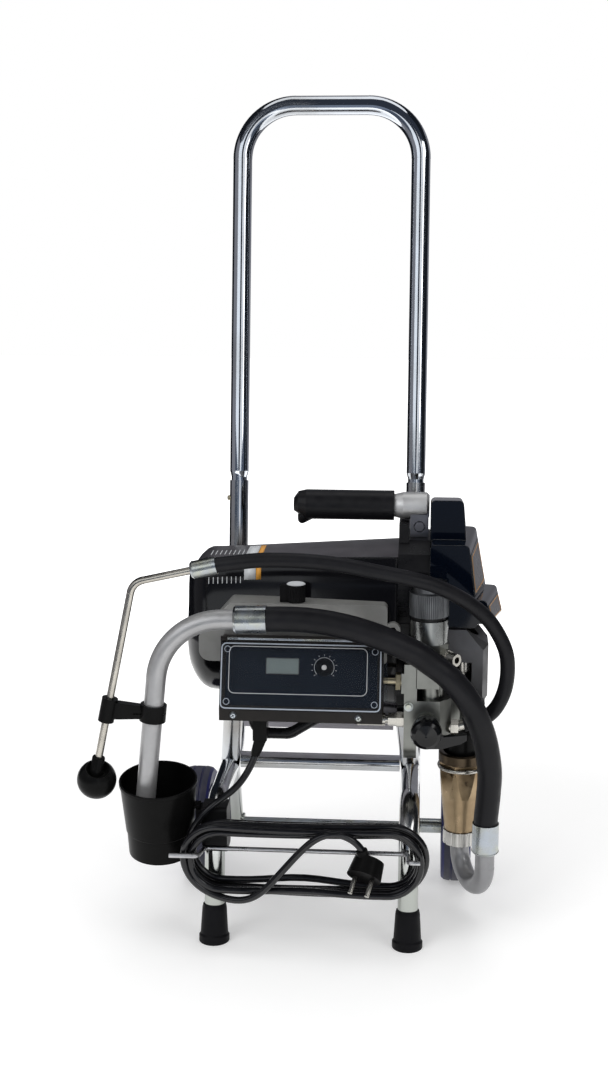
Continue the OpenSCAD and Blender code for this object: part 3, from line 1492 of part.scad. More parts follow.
// Screws of the box, bolts of the bracket and the manifold, and the clear cover's hinge pin
module fasteners() {
    color("lightgray") {
        for (x = [-box_w / 2 + 15, box_w / 2 - 25]) translate([box_mid_x + x, 0, box_h + 6])
            rotate([90, 0, 0]) {
                translate([0, 0, seat]) cylinder(d1 = 8, d2 = 5, h = 2.4);
                translate([0, 0, -8]) cylinder(d = 4, h = 8 + seat);
            }
        translate([gear_x - 12, grip_y - 10 + 2, 434]) rotate([90, 0, 0]) {
            hex_bar(10, 5);
            translate([0, 0, -8]) cylinder(d = 6, h = 9);
        }
        translate([filter_x - 20, block_front - seat, 260]) rotate([90, 0, 0]) {
            cylinder(d = 10, h = 1.5);
            cylinder(d = 7, h = 5);
        }
        on_face() translate([-box_w / 2 + 1, hinge_up, hinge_out]) rotate([0, 90, 0])
            cylinder(d = hinge_pin_d, h = box_w - 2);
    }
}

// ======================================================================
// Mains lead: angled connector, free stretch, hank on the hook, plug
// ======================================================================

inlet_top = [-56, 24, box_h - seat];
inlet_end = [-61, 22, 203];

module mains_inlet() {
    color("#121212") {
        translate([inlet_top[0] - 7, inlet_top[1] - 10, box_h - 27]) cube([15, 20, 27 - seat]);
        hull() {
            translate([inlet_top[0] - 6, inlet_top[1] - 8, box_h - 28]) cube([13, 16, 1]);
            aim(inlet_end - lead_out * 4, inlet_end)
                cylinder(d = lead_d + 2.5, h = 4 - seat, $fn = 24);
        }
    }
}

// The hank: loops in four layers round the hook's posts, each layer winding in or out.
// It climbs to the next layer in the half turn where it reverses.
hank_mid = [(hook_post_left + hook_post_right) / 2, 106];
hank_inner_w = (hook_post_right - hook_post_left) / 2 + 2.5 + hook_r + lead_d / 2 + 0.8;
hank_inner_h = 30;
hank_pitch = lead_d + 0.8;
hank_turns = hank_loops + 0.25;
hank_start = 10 / 24;
hank_layers = 4;
layer_turns = hank_turns / hank_layers;
hank_rings = 24;
hank_sag = 3;
hank_y = hook_y - hook_r - lead_d / 2 - 0.8;

// How far the hank has wound outwards after u turns, in turns, and which layer it's in
function hank_spread(u) =
    let (v = u / layer_turns, s = floor(v), f = v - s) (s % 2 == 0 ? 1 - f : f) * layer_turns;
function climb(f) = f < 0 ? 0 : f > 1 ? 1 : f * f * (3 - 2 * f);
function hank_layer(u) =
    add([for (k = [1 : hank_layers - 1]) climb((u - k * layer_turns) * 2 + 0.5)]);

// A point at part t of an oval with straight runs and round ends; the ends get more rings
function oval(t, w, h) =
    let (c = t - floor(t), e = w - h)
    c < 1 / 6 ? [w - h + h * cos(c * 540), h * sin(c * 540)]
    : c < 1 / 3 ? [mix(e, -e, (c - 1 / 6) * 6), h]
    : c < 2 / 3 ? [-e + h * cos(90 + (c - 1 / 3) * 540), h * sin(90 + (c - 1 / 3) * 540)]
    : c < 5 / 6 ? [mix(-e, e, (c - 2 / 3) * 6), -h]
    : [e + h * cos(270 + (c - 5 / 6) * 540), h * sin(270 + (c - 5 / 6) * 540)];

function hank_point(u) =
    let (
        grow = hank_spread(u) * hank_pitch,
        q = oval(u + hank_start, hank_inner_w + grow, hank_inner_h + grow)
    )
    [hank_mid[0] + q[0], hank_y - hank_layer(u) * hank_pitch,
        hank_mid[1] + q[1] - hank_sag * (1 - pow(q[0] / hank_inner_w, 2))];
hank_path = [for (k = [0 : round(hank_turns * hank_rings)]) hank_point(k / hank_rings)];

function hank_gap() = min([for (i = [0 : len(hank_path) - 1])
    for (j = [i + hank_rings / 2 : 1 : len(hank_path) - 1])
    norm(hank_path[i] - hank_path[j])]) - lead_d;
echo(least_gap_in_hank_mm = hank_gap());
echo(hank_length_mm = path_length(hank_path));

module mains_loops() {
    color("#0d0d0d") sweep(hank_path, lead_d, 6, [0, 1, 0]);
}

hank_in = hank_path[0];
hank_in_aim = unit(hank_path[0] - hank_path[1]);
lead_route = [inlet_end, [-62, 21.5, 197], [-70, 15, 182], [-80, 5, 169],
    hank_in + hank_in_aim * 24, hank_in + hank_in_aim * lead_d];
lead_path = concat(smooth_path(lead_route, 20), [hank_in + hank_in_aim * 0.05]);
lead_out = unit(lead_path[1] - lead_path[0]);

module mains_lead() {
    color("#0d0d0d") sweep(lead_path, lead_d, 8, [0, 1, 0]);
    color("#0d0d0d") sweep(tail_path, lead_d, 8, [0, 1, 0]);
}

hank_out = hank_path[len(hank_path) - 1];
hank_out_aim = unit(hank_out - hank_path[len(hank_path) - 2]);
tail_y = hank_out[1] - hank_pitch - 0.2;
plug_mid = [62, tail_y + 4, 105];
plug_back = [56, tail_y + 2, 125];
tail_route = [hank_out + hank_out_aim * lead_d, [-70, tail_y + 2, 60.5], [-53, tail_y, 68],
    [-32, tail_y, 94], [-8, tail_y, 122], [22, tail_y, 139], [42, tail_y, 140], [52, tail_y + 1, 134], plug_back];
tail_path = concat([hank_out + hank_out_aim * 0.05], smooth_path(tail_route, 14));

// Round earthed plug with two pins, lying in the hank
module mains_plug() {
    face = [plug_mid[0] - 5, plug_mid[1] - 12, plug_mid[2] - 13];
    color("#0f0f0f") {
        aim(plug_mid, face) difference() {
            translate([0, 0, -8]) cylinder(d1 = plug_d - 5, d2 = plug_d, h = 20);
            translate([0, 0, 8.5]) ring(plug_d + 2, plug_d - 2, 0.1);
        }
        bar(plug_back, mix(plug_back, plug_mid, 0.6), 12);
    }
    color("silver") aim(plug_mid, face) for (s = [-1, 1]) translate([0, 9.5 * s, 11])
        cylinder(d = 4.8, h = 20);
}

// ======================================================================
// The sprayer
// ======================================================================

module placed() {
    translate(stand) children();
}

placed() side_tube_left();
placed() side_tube_right();
placed() cross_bars();
placed() axle();
placed() axle_caps();
placed() cord_hook();
placed() base_plate();
placed() feet();
placed() tyre_left();
placed() tyre_right();
placed() hub_left();
placed() hub_right();
placed() pull_handle();
placed() snap_springs();
placed() motor_cover();
placed() motor_can();
placed() motor_rotor();
placed() drive_housing();
placed() front_cover();
placed() side_panel();
placed() fasteners();
placed() pump_mount();
placed() displacement_rod();
placed() pump_cylinder();
placed() pump_nuts();
placed() intake_housing();
placed() suction_elbow();
placed() suction_hose();
placed() hose_ferrules();
placed() suction_tube();
placed() strainer();
placed() fluid_fittings();
placed() drain_hose();
placed() drain_tube();
placed() diffuser();
placed() tube_clip();
placed() drip_cup();
placed() cup_hanger();
placed() manifold();
placed() filter_bowl();
placed() filter_seal();
placed() filter_cap();
placed() filter_element();
placed() transducer();
placed() outlet_nipple();
placed() prime_valve();
placed() prime_handle();
placed() control_box();
placed() control_panel();
placed() panel_button();
placed() clear_cover();
placed() control_housing();
placed() pressure_knob();
placed() carry_bracket();
placed() carry_grip();
placed() pressure_hose();
placed() mains_inlet();
placed() mains_lead();
placed() mains_loops();
placed() mains_plug();
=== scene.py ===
"""Looks of an airless paint sprayer on a two-wheel cart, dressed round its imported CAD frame."""

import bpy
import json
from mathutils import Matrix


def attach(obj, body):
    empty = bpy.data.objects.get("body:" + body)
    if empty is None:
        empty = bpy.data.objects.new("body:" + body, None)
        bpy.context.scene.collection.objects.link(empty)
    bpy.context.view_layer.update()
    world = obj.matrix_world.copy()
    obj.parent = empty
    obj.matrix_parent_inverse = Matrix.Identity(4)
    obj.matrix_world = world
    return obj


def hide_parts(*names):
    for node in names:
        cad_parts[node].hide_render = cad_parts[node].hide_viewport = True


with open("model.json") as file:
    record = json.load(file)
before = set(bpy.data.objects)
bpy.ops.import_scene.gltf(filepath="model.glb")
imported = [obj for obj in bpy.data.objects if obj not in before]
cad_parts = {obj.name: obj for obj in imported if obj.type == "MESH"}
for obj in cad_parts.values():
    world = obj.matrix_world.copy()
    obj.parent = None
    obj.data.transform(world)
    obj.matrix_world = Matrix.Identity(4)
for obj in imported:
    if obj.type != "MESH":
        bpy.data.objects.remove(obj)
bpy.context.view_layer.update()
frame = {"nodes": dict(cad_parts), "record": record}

import json
import math

import bpy
from mathutils import Vector
from mathutils.bvhtree import BVHTree

MM = 0.001
ALL_NODES = frame["nodes"]

# The cart's own frame: x from its middle plane, y back from its front feet, z up from the floor
feet = [Vector(m["pos_m"]) for m in frame["record"]["mounts"] if m["name"].startswith("foot")]
FOOT_MIDDLE_Y = -3
HOME = (feet[0] + feet[1]) / 2 - Vector((0, FOOT_MIDDLE_Y * MM, 0))


def at(x, y, z):
    """A point of the cart's own frame, given in millimetres."""
    return HOME + Vector((x, y, z)) * MM


# ---------------------------------------------------------------- camera
# The photograph is taken from above, a little to the right of straight ahead; angles in degrees

PHOTO_HEIGHT = 1080
FOCAL_PIXELS = 1550
SENSOR = 36
VIEW_AZIMUTH = 4.5
VIEW_PITCH = 12.5
EYE = (114.3, -1541.8, 788)


def make_camera():
    """A camera with the lens and the place that were fitted to the photograph."""
    data = bpy.data.cameras.new("camera")
    data.lens = FOCAL_PIXELS / PHOTO_HEIGHT * SENSOR
    data.sensor_width = SENSOR
    camera = bpy.data.objects.new("camera", data)
    camera.location = at(*EYE)
    camera.rotation_euler = (math.radians(90 - VIEW_PITCH), 0, math.radians(VIEW_AZIMUTH))
    bpy.context.scene.collection.objects.link(camera)
    bpy.context.scene.camera = camera


make_camera()


# ---------------------------------------------------------------- materials

RANGE_SOCKETS = ("From Min", "From Max", "To Min", "To Max")


class Finish:
    """A procedural material: a Principled shader and short ways to vary it."""

    def __init__(self, name, color, roughness, metallic=0.0, **sockets):
        self.material = bpy.data.materials.new(name)
        self.material.use_nodes = True
        self.tree = self.material.node_tree
        self.shader = self.tree.nodes["Principled BSDF"]
        values = {"Base Color": (*color, 1), "Roughness": roughness, "Metallic": metallic}
        values.update({key.replace("_", " "): value for key, value in sockets.items()})
        for key, value in values.items():
            self.shader.inputs[key].default_value = value
        self.place = self.node("ShaderNodeTexCoord").outputs["Object"]
        self.normal = None

    def node(self, kind, settings=(), **inputs):
        made = self.tree.nodes.new(kind)
        for key, value in dict(settings).items():
            setattr(made, key, value)
        for key, value in inputs.items():
            self.feed(made.inputs[key.replace("_", " ")], value)
        return made

    def feed(self, socket, value):
        if isinstance(value, bpy.types.NodeSocket):
            self.tree.links.new(value, socket)
        else:
            socket.default_value = value

    def stretched(self, x, y, z):
        """Object coordinates scaled along each axis, for grain that runs one way."""
        return self.node("ShaderNodeMapping", Vector=self.place, Scale=(x, y, z)).outputs[0]

    def noise(self, scale, detail, where=None):
        """Smooth noise; scale is in features a metre."""
        made = self.node("ShaderNodeTexNoise", Vector=where or self.place, Scale=scale,
                         Detail=detail)
        return made.outputs["Fac"]

    def spread(self, value, low, high, start=0.3, end=0.7):
        """Maps start to end onto low to high, and holds both ends."""
        made = self.node("ShaderNodeMapRange", Value=value)
        for key, number in zip(RANGE_SOCKETS, (start, end, low, high)):
            made.inputs[key].default_value = number
        return made.outputs["Result"]

    def math(self, operation, a, b):
        made = self.node("ShaderNodeMath", {"operation": operation})
        self.feed(made.inputs[0], a)
        self.feed(made.inputs[1], b)
        return made.outputs[0]

    def blend(self, share, first, second):
        made = self.node("ShaderNodeMix", {"data_type": "RGBA"})
        self.feed(made.inputs[0], share)
        for socket, value in ((made.inputs[6], first), (made.inputs[7], second)):
            self.feed(socket, value if isinstance(value, bpy.types.NodeSocket) else (*value, 1))
        return made.outputs[2]

    def axis(self, name):
        split = self.node("ShaderNodeSeparateXYZ", Vector=self.place)
        return split.outputs[name]

    def paint(self, value):
        self.feed(self.shader.inputs["Base Color"], value)
        return self

    def rough(self, value):
        self.feed(self.shader.inputs["Roughness"], value)
        return self

    def round_edges(self, radius):
        """Softens the shading of hard edges, radius in millimetres."""
        self.normal = self.node("ShaderNodeBevel", {"samples": 4}, Radius=radius * MM).outputs[0]
        return self

    def edges(self, radius, start=0.02, end=0.25):
        """How close a point is to a hard edge, from 0 to 1."""
        bevel = self.node("ShaderNodeBevel", {"samples": 4}, Radius=radius * MM).outputs[0]
        flat = self.node("ShaderNodeNewGeometry").outputs["Normal"]
        dot = self.node("ShaderNodeVectorMath", {"operation": "DOT_PRODUCT"})
        self.feed(dot.inputs[0], bevel)
        self.feed(dot.inputs[1], flat)
        return self.spread(self.math("SUBTRACT", 1.0, dot.outputs["Value"]), 0, 1, start, end)

    def bump(self, height, depth, strength):
        """Bump from a height of 0 to 1; depth in millimetres."""
        made = self.node("ShaderNodeBump", Height=height, Distance=depth * MM, Strength=strength)
        if self.normal:
            self.feed(made.inputs["Normal"], self.normal)
        self.normal = made.outputs[0]
        return self

    def done(self):
        if self.normal:
            self.feed(self.shader.inputs["Normal"], self.normal)
        return self.material


def tinted(finish, fac, dark, light):
    """Paints a finish from one colour at a share of 0 to another at 1."""
    return finish.paint(finish.blend(fac, dark, light))


def chrome(name, color, low, high, grime, foot=None):
    """Bright plating with faint drag marks along the tube and a few dull spots; a foot colour,
    where given, paints it darker towards the floor, a painted darker reflection.
    """
    f = Finish(name, color, low, 1.0)
    film = f.spread(f.noise(14, 5), 0, 1, 0.45, 0.75)
    plating = f.blend(film, color, grime)
    # Painted reflection: from 13 cm down to 7 cm above the floor the plating turns to the darker
    # foot colour
    f.paint(f.blend(f.spread(f.axis("Z"), 1, 0, 0.07, 0.13), plating, foot or color))
    spots = f.spread(f.noise(420, 2), 0, 0.5, 0.62, 0.75)
    f.rough(f.spread(f.math("ADD", film, spots), low, high, 0, 1))
    return f.bump(f.noise(9, 2), 0.5, 0.12).bump(f.noise(900, 2), 0.01, 0.3).done()


def zinc(name, color=(0.46, 0.48, 0.46)):
    """Zinc plating: pale, with yellow-green and blue films and fine vertical drag marks."""
    f = Finish(name, color, 0.28, 1.0).round_edges(0.4)
    film = f.blend(f.spread(f.noise(55, 3), 0, 1, 0.35, 0.65), color, (0.46, 0.50, 0.55))
    f.paint(f.blend(f.spread(f.noise(38, 3), 0, 1, 0.5, 0.7), film, (0.52, 0.53, 0.43)))
    f.rough(f.spread(f.noise(50, 2), 0.2, 0.36))
    return f.bump(f.noise(700, 3), 0.002, 0.5).done()


def nickel(name, color=(0.60, 0.58, 0.53), low=0.16, high=0.34, rounding=0.3, turned=0.0015):
    """Bright turned metal with faint turning marks; a rounding of 0 leaves its edges alone."""
    f = Finish(name, color, low, 1.0)
    if rounding:
        f.round_edges(rounding)
    tinted(f, f.spread(f.noise(60, 4), 0, 1), color, tuple(c * 0.8 for c in color))
    f.rough(f.spread(f.noise(45, 2), low, high))
    turning = f.noise(40, 1, f.stretched(1, 1, 40))
    return f.bump(turning, turned, 0.5).done()


def satin_aluminium(name, color=(0.46, 0.46, 0.465)):
    """Bead-blasted alloy: a soft grey, partly diffuse, so that it stays pale in shadow."""
    f = Finish(name, color, 0.34, 0.6)
    tinted(f, f.spread(f.noise(45, 4), 0, 1), color, tuple(c * 0.88 for c in color))
    f.rough(f.spread(f.noise(300, 4), 0.28, 0.44))
    return f.bump(f.noise(1400, 2), 0.02, 0.35).done()


def cast(name, color, shade, roughness, grain, metallic, size=700, gloss=0.5):
    """Sand or die casting: fine grain, darker blotches at random, and rubbed, brighter edges."""
    f = Finish(name, color, roughness, metallic, Specular_IOR_Level=gloss).round_edges(0.5)
    blotch = f.blend(f.spread(f.noise(35, 4), 0, 1), color, shade)
    bright = tuple(min(1, c * 1.35) for c in color)
    f.paint(f.blend(f.edges(0.7, 0.06, 0.4), blotch, bright))
    f.rough(f.spread(f.noise(60, 2), roughness - 0.06, roughness + 0.1))
    return f.bump(f.noise(size, 4), grain, 0.8).done()


def gloss_plastic(name, color=(0.004, 0.004, 0.005), roughness=0.07, wave=0.25, rounding=5,
                  gloss=0.3, edge_highlight=(0.07, 0.075, 0.085)):
    """Polished black moulding: sinks and waves, fine dust, and edges painted paler as a painted
    highlight.
    """
    f = Finish(name, color, roughness, 0.0, Specular_IOR_Level=gloss, Coat_Weight=0.1,
               Coat_Roughness=0.03)
    dust = f.spread(f.noise(1500, 3), 0, 1, 0.6, 0.85)
    body = f.blend(dust, color, (0.012, 0.012, 0.014))
    f.round_edges(rounding)
    # Painted highlight: the colour turns paler at hard edges, as if they caught the light
    f.paint(f.blend(f.edges(0.7, 0.05, 0.5), body, edge_highlight))
    f.rough(f.spread(f.noise(18, 1), roughness, roughness + 0.08, 0.4, 0.75))
    return f.bump(f.noise(16, 2), wave, 0.15).done()


def satin_plastic(name, color, roughness, grain=0.05, gloss=0.2):
    """Moulded plastic with a fine spark texture and slightly polished edges."""
    f = Finish(name, color, roughness, 0.0, Specular_IOR_Level=gloss).round_edges(0.6)
    tinted(f, f.spread(f.noise(50, 3), 0, 1), color, tuple(c * 1.5 for c in color))
    f.rough(f.spread(f.edges(0.8), roughness, roughness * 0.6, 0, 1))
    return f.bump(f.noise(2200, 3), grain, 0.6).done()


def panel_face(name):
    """Printed film behind the clear cover: dark navy, with little gloss of its own."""
    color = (0.004, 0.007, 0.014)
    f = Finish(name, color, 0.25, 0.0, Specular_IOR_Level=0.25)
    return tinted(f, f.spread(f.noise(40, 3), 0, 1), color, (0.006, 0.010, 0.018)).done()


def rubber(name, color, roughness, grain, gloss=0.25):
    """Plain black rubber or soft plastic, a little paler and duller in patches."""
    f = Finish(name, color, roughness, 0.0, Specular_IOR_Level=gloss)
    tinted(f, f.spread(f.noise(30, 4), 0, 1), color, tuple(c * 1.6 for c in color))
    f.rough(f.spread(f.noise(120, 4), roughness - 0.08, roughness + 0.1))
    return f.bump(f.noise(1500, 3), grain, 0.5).done()


def hose_rubber(name):
    """Wrapped hose: fine cloth marks across it and a dusty bloom."""
    color = (0.0055, 0.0055, 0.007)
    f = Finish(name, color, 0.42, 0.0, Specular_IOR_Level=0.2)
    tinted(f, f.spread(f.noise(24, 5), 0, 1), color, (0.009, 0.009, 0.011))
    f.rough(f.spread(f.noise(80, 4), 0.34, 0.52))
    cloth = f.node("ShaderNodeTexWave", {"bands_direction": "DIAGONAL"}, Vector=f.place,
                   Scale=420, Distortion=1.5).outputs["Fac"]
    return f.bump(cloth, 0.05, 0.25).bump(f.noise(900, 3), 0.06, 0.5).done()


def tyre_rubber(name):
    """Dark tread with navy side walls."""
    f = Finish(name, (0.05, 0.05, 0.055), 0.5).round_edges(0.8)
    normal = f.node("ShaderNodeNewGeometry").outputs["Normal"]
    side = f.node("ShaderNodeSeparateXYZ", Vector=normal).outputs["X"]
    wall = f.spread(f.math("ABSOLUTE", side, 0), 0, 1, 0.35, 0.7)
    grey = f.blend(f.spread(f.noise(60, 4), 0, 1), (0.022, 0.024, 0.05), (0.05, 0.05, 0.07))
    f.paint(f.blend(wall, grey, (0.006, 0.009, 0.10)))
    return f.bump(f.noise(600, 4), 0.1, 0.6).done()


def clear_plastic(name):
    """Thin clear acrylic, slightly smoky, a little dull in places."""
    f = Finish(name, (0.03, 0.036, 0.045), 0.02, 0.0, Alpha=0.14)
    f.rough(f.spread(f.noise(20, 2), 0.01, 0.05, 0.6, 0.8))
    return f.done()


def painted(name, color, roughness, grain=0.04):
    """Paint or print, a little darker and duller in patches."""
    f = Finish(name, color, roughness).round_edges(0.5)
    tinted(f, f.spread(f.noise(20, 4), 0, 1), color, tuple(c * 0.86 for c in color))
    f.rough(f.spread(f.noise(90, 4), roughness - 0.06, roughness + 0.1))
    return f.bump(f.noise(500, 3), grain, 0.5).done()


def gold_anodised(name):
    """Turned gold-brown metal with darker stains."""
    f = Finish(name, (0.46, 0.34, 0.20), 0.3, 1.0).round_edges(0.5)
    tone = f.blend(f.spread(f.noise(26, 3), 0, 1), (0.50, 0.38, 0.235), (0.34, 0.24, 0.14))
    stain = f.spread(f.noise(9, 4), 0, 0.7, 0.5, 0.72)
    f.paint(f.blend(stain, tone, (0.20, 0.14, 0.085)))
    f.rough(f.spread(f.noise(140, 4), 0.24, 0.46))
    return f.bump(f.noise(150, 2, f.stretched(1, 1, 30)), 0.01, 0.6).done()


def mesh_metal(name):
    """Woven filter mesh."""
    f = Finish(name, (0.6, 0.42, 0.18), 0.4, 1.0)
    weave = f.node("ShaderNodeTexChecker", Vector=f.place, Scale=1400).outputs["Fac"]
    return tinted(f, weave, (0.5, 0.34, 0.13), (0.2, 0.12, 0.05)).bump(weave, 0.1, 1.0).done()


# What makes each look, and then that function's values in order
LOOKS = {
    "chrome": (chrome, (0.74, 0.78, 0.84), 0.05, 0.16, (0.56, 0.58, 0.60)),
    # The frame's last colour is its foot, a painted darker reflection low on the legs
    "frame_chrome": (chrome, (0.66, 0.68, 0.70), 0.08, 0.24, (0.48, 0.46, 0.43),
                     (0.44, 0.46, 0.43)),
    "zinc": (zinc,),
    "wire": (nickel, (0.62, 0.62, 0.63), 0.2, 0.4),
    "lilac_plate": (painted, (0.56, 0.54, 0.60), 0.35),
    "foot_rubber": (rubber, (0.005, 0.005, 0.006), 0.45, 0.05, 0.1),
    "tyre": (tyre_rubber,),
    "wheel_plastic": (satin_plastic, (0.02, 0.023, 0.07), 0.4),
    "gloss_black": (gloss_plastic,),
    # The front cover's last colour is its pale painted edge highlight
    "front_gloss": (gloss_plastic, (0.0015, 0.003, 0.007), 0.05, 0.2, 1.6, 0.2,
                    (0.24, 0.24, 0.22)),
    "knob_gloss": (gloss_plastic, (0.003, 0.003, 0.0035), 0.1, 0.05, 0.6),
    "satin_black": (satin_plastic, (0.006, 0.006, 0.0065), 0.42, 0.04, 0.12),
    "deep_black": (satin_plastic, (0.0035, 0.0035, 0.0035), 0.3, 0.02, 0.09),
    "box_black": (satin_plastic, (0.012, 0.0105, 0.0095), 0.34, 0.03),
    "dark_cast": (cast, (0.006, 0.006, 0.007), (0.004, 0.004, 0.005), 0.3, 0.06, 0.0, 500, 0.25),
    "mount_cast": (cast, (0.14, 0.14, 0.15), (0.10, 0.10, 0.10), 0.42, 0.03, 0.7),
    "grey_cast": (cast, (0.31, 0.31, 0.30), (0.24, 0.24, 0.23), 0.48, 0.05, 0.5),
    "sand_cast": (cast, (0.74, 0.74, 0.74), (0.58, 0.58, 0.58), 0.4, 0.3, 0.8, 420),
    "manifold_nickel": (nickel, (0.25, 0.255, 0.235), 0.28, 0.36, 0, 0),
    "bowl_nickel": (nickel, (0.33, 0.34, 0.33), 0.2, 0.3, 0, 0),
    "cap_metal": (nickel, (0.17, 0.175, 0.18), 0.28, 0.44),
    "gold": (gold_anodised,),
    "dull_alloy": (satin_aluminium, (0.33, 0.33, 0.34)),
    "nickel": (nickel,),
    "nut_steel": (nickel, (0.66, 0.65, 0.62), 0.22, 0.4),
    "aluminium": (satin_aluminium,),
    "drain_steel": (nickel, (0.58, 0.55, 0.49), 0.18, 0.32),
    "hose": (hose_rubber,),
    "hose_gloss": (rubber, (0.008, 0.008, 0.009), 0.3, 0.03),
    "cable": (rubber, (0.004, 0.004, 0.005), 0.17, 0.01, 0.5),
    "grip": (rubber, (0.004, 0.004, 0.005), 0.38, 0.03),
    # The seal's rubber also draws the screw crosses, as painted shade
    "seal": (rubber, (0.008, 0.008, 0.008), 0.3, 0.02),
    "clear": (clear_plastic,),
    "brass": (nickel, (0.60, 0.53, 0.37), 0.25, 0.4),
    "motor_paint": (painted, (0.09, 0.09, 0.095), 0.5),
    "mesh": (mesh_metal,),
    "label_grey": (painted, (0.115, 0.112, 0.115), 0.3, 0.01),
    "orange": (painted, (0.72, 0.33, 0.04), 0.4, 0.01),
    "pale_print": (painted, (0.62, 0.64, 0.66), 0.4, 0.01),
    "white_cap": (painted, (0.78, 0.78, 0.78), 0.35, 0.01),
    "display": (painted, (0.24, 0.29, 0.29), 0.12, 0.0),
    "panel_navy": (panel_face,),
    "screw_blue": (zinc, (0.62, 0.68, 0.74)),
    # The lid's satin finish, painted lighter than the cover for the light its top catches
    "lid_satin": (satin_plastic, (0.034, 0.032, 0.036), 0.3, 0.01, 0.22),
    "dark_brass": (nickel, (0.10, 0.075, 0.05), 0.3, 0.4),
    "dark_nut": (nickel, (0.20, 0.20, 0.22), 0.22, 0.36),
    # A pale colour for the painted glint on the clear cover's edges
    "acrylic_edge": (painted, (0.42, 0.47, 0.54), 0.12, 0.0),
}
MATERIALS = {name: maker(name, *values) for name, (maker, *values) in LOOKS.items()}

NODE_FINISH = {
    "side_tube_left": "frame_chrome", "side_tube_right": "frame_chrome",
    "cross_bars": "frame_chrome", "axle": "zinc", "axle_caps": "satin_black",
    "cord_hook": "wire", "base_plate": "lilac_plate",
    "feet": "foot_rubber", "tyre_left": "tyre", "tyre_right": "tyre", "hub_left": "wheel_plastic",
    "hub_right": "wheel_plastic", "pull_handle": "chrome", "snap_springs": "brass",
    "motor_cover": "gloss_black", "motor_can": "motor_paint", "motor_rotor": "zinc",
    "drive_housing": "dark_cast", "front_cover": "front_gloss", "side_panel": "label_grey",
    "fasteners": "screw_blue", "pump_mount": "mount_cast", "displacement_rod": "nickel",
    "pump_cylinder": "deep_black", "pump_nuts": "nut_steel", "intake_housing": "gold",
    "suction_elbow": "dull_alloy", "hose_ferrules": "zinc", "suction_tube": "aluminium",
    "strainer": "satin_black", "fluid_fittings": "nickel", "drain_tube": "drain_steel",
    "diffuser": "deep_black", "tube_clip": "deep_black", "drip_cup": "deep_black",
    "cup_hanger": "satin_black", "manifold": "manifold_nickel", "filter_bowl": "bowl_nickel",
    "filter_seal": "seal", "filter_cap": "cap_metal", "filter_element": "mesh",
    "transducer": "nickel", "outlet_nipple": "nickel", "prime_valve": "dark_cast",
    "prime_handle": "knob_gloss", "control_box": "box_black", "control_panel": "panel_navy",
    "panel_button": "deep_black", "clear_cover": "clear", "control_housing": "grey_cast",
    "pressure_knob": "satin_black", "carry_bracket": "sand_cast", "carry_grip": "grip",
    "pressure_hose": "hose_gloss", "mains_inlet": "deep_black", "mains_plug": "deep_black",
}


def dress(obj, material):
    obj.data.materials.clear()
    obj.data.materials.append(MATERIALS[material])


def dress_where(node, material, inside):
    """Gives a second finish to the faces of a node whose middle passes the test."""
    mesh = ALL_NODES[node].data
    mesh.materials.append(MATERIALS[material])
    index = len(mesh.materials) - 1
    for face in mesh.polygons:
        if inside((face.center - HOME) / MM):
            face.material_index = index


for node, material in NODE_FINISH.items():
    dress(ALL_NODES[node], material)


# ---------------------------------------------------------------- cords and hoses

def curve_points(route, steps):
    """Points of a smooth curve through the route, with so many steps a span."""
    found = []
    last = len(route) - 1
    for span in range(last):
        b, c = Vector(route[span]), Vector(route[span + 1])
        a = Vector(route[span - 1]) if span > 0 else 2 * b - c
        d = Vector(route[span + 2]) if span + 2 <= last else 2 * c - b
        for step in range(steps):
            f = step / steps
            found.append(0.5 * (2 * b + (c - a) * f + (2 * a - 5 * b + 4 * c - d) * f ** 2
                                + (3 * b - a - 3 * c + d) * f ** 3))
    return found + [Vector(route[last])]


def run_length(points):
    return sum((b - a).length for a, b in zip(points, points[1:]))


CORD_STEPS = 6
CORD_ROUNDNESS = 6
LINE_ROUNDNESS = 2


def wire(name, lines, diameter, material, body="frame", roundness=LINE_ROUNDNESS):
    """Cords, wires or printed lines: round, along lists of points, diameter in millimetres. A
    line that ends where it starts is closed."""
    data = bpy.data.curves.new(name, "CURVE")
    data.dimensions = "3D"
    data.bevel_depth = diameter / 2 * MM
    data.bevel_resolution = roundness
    data.use_fill_caps = True
    for line in lines:
        closed = (Vector(line[0]) - Vector(line[-1])).length < 0.001
        shown = line[:-1] if closed else line
        spline = data.splines.new("POLY")
        spline.points.add(len(shown) - 1)
        spline.use_cyclic_u = closed
        for place, point in zip(spline.points, shown):
            place.co = (*at(*point), 1)
    piece = bpy.data.objects.new(name, data)
    bpy.context.scene.collection.objects.link(piece)
    data.materials.append(MATERIALS[material])
    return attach(piece, body)


HOSE_IN = 3.9
SUCTION_HOSE_D = 26.4
SUCTION_ROUTE = [
    (187, 40, 92 + HOSE_IN), (187, 40, 112), (187, 40, 130), (189, 37, 160), (189, 31, 192),
    (181, 21, 234), (165, 11, 272), (145, 5, 299), (124, 3, 316), (105, 1, 329), (67, -3, 346),
    (30, -2, 356), (-8, 0, 360.5), (-46, 0, 360.5), (-63, 0, 359.9), (-76.1, 0, 359.45),
]
DRAIN_HOSE_D = 15.8
DRAIN_ROUTE = [
    (161, 47, 235), (178, 48, 240), (193, 47, 252), (203, 46, 273), (206, 45, 298), (202, 41, 323),
    (186, 33, 353), (163, 22, 376), (133, 9, 395), (106, 2, 405), (66, -3, 414), (29, -5, 421),
    (-8, -6, 424.5), (-50, -6, 424.5), (-80, -6, 421), (-96.7, -6, 418.5), (-119.2, -6, 413.4),
]


def make_hose(name, node, route, diameter):
    """A rubber hose along its route, which stands for the solid hose."""
    points = curve_points(route, CORD_STEPS)
    hose = wire(name, [points], diameter, "hose", roundness=CORD_ROUNDNESS)
    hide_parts(node)


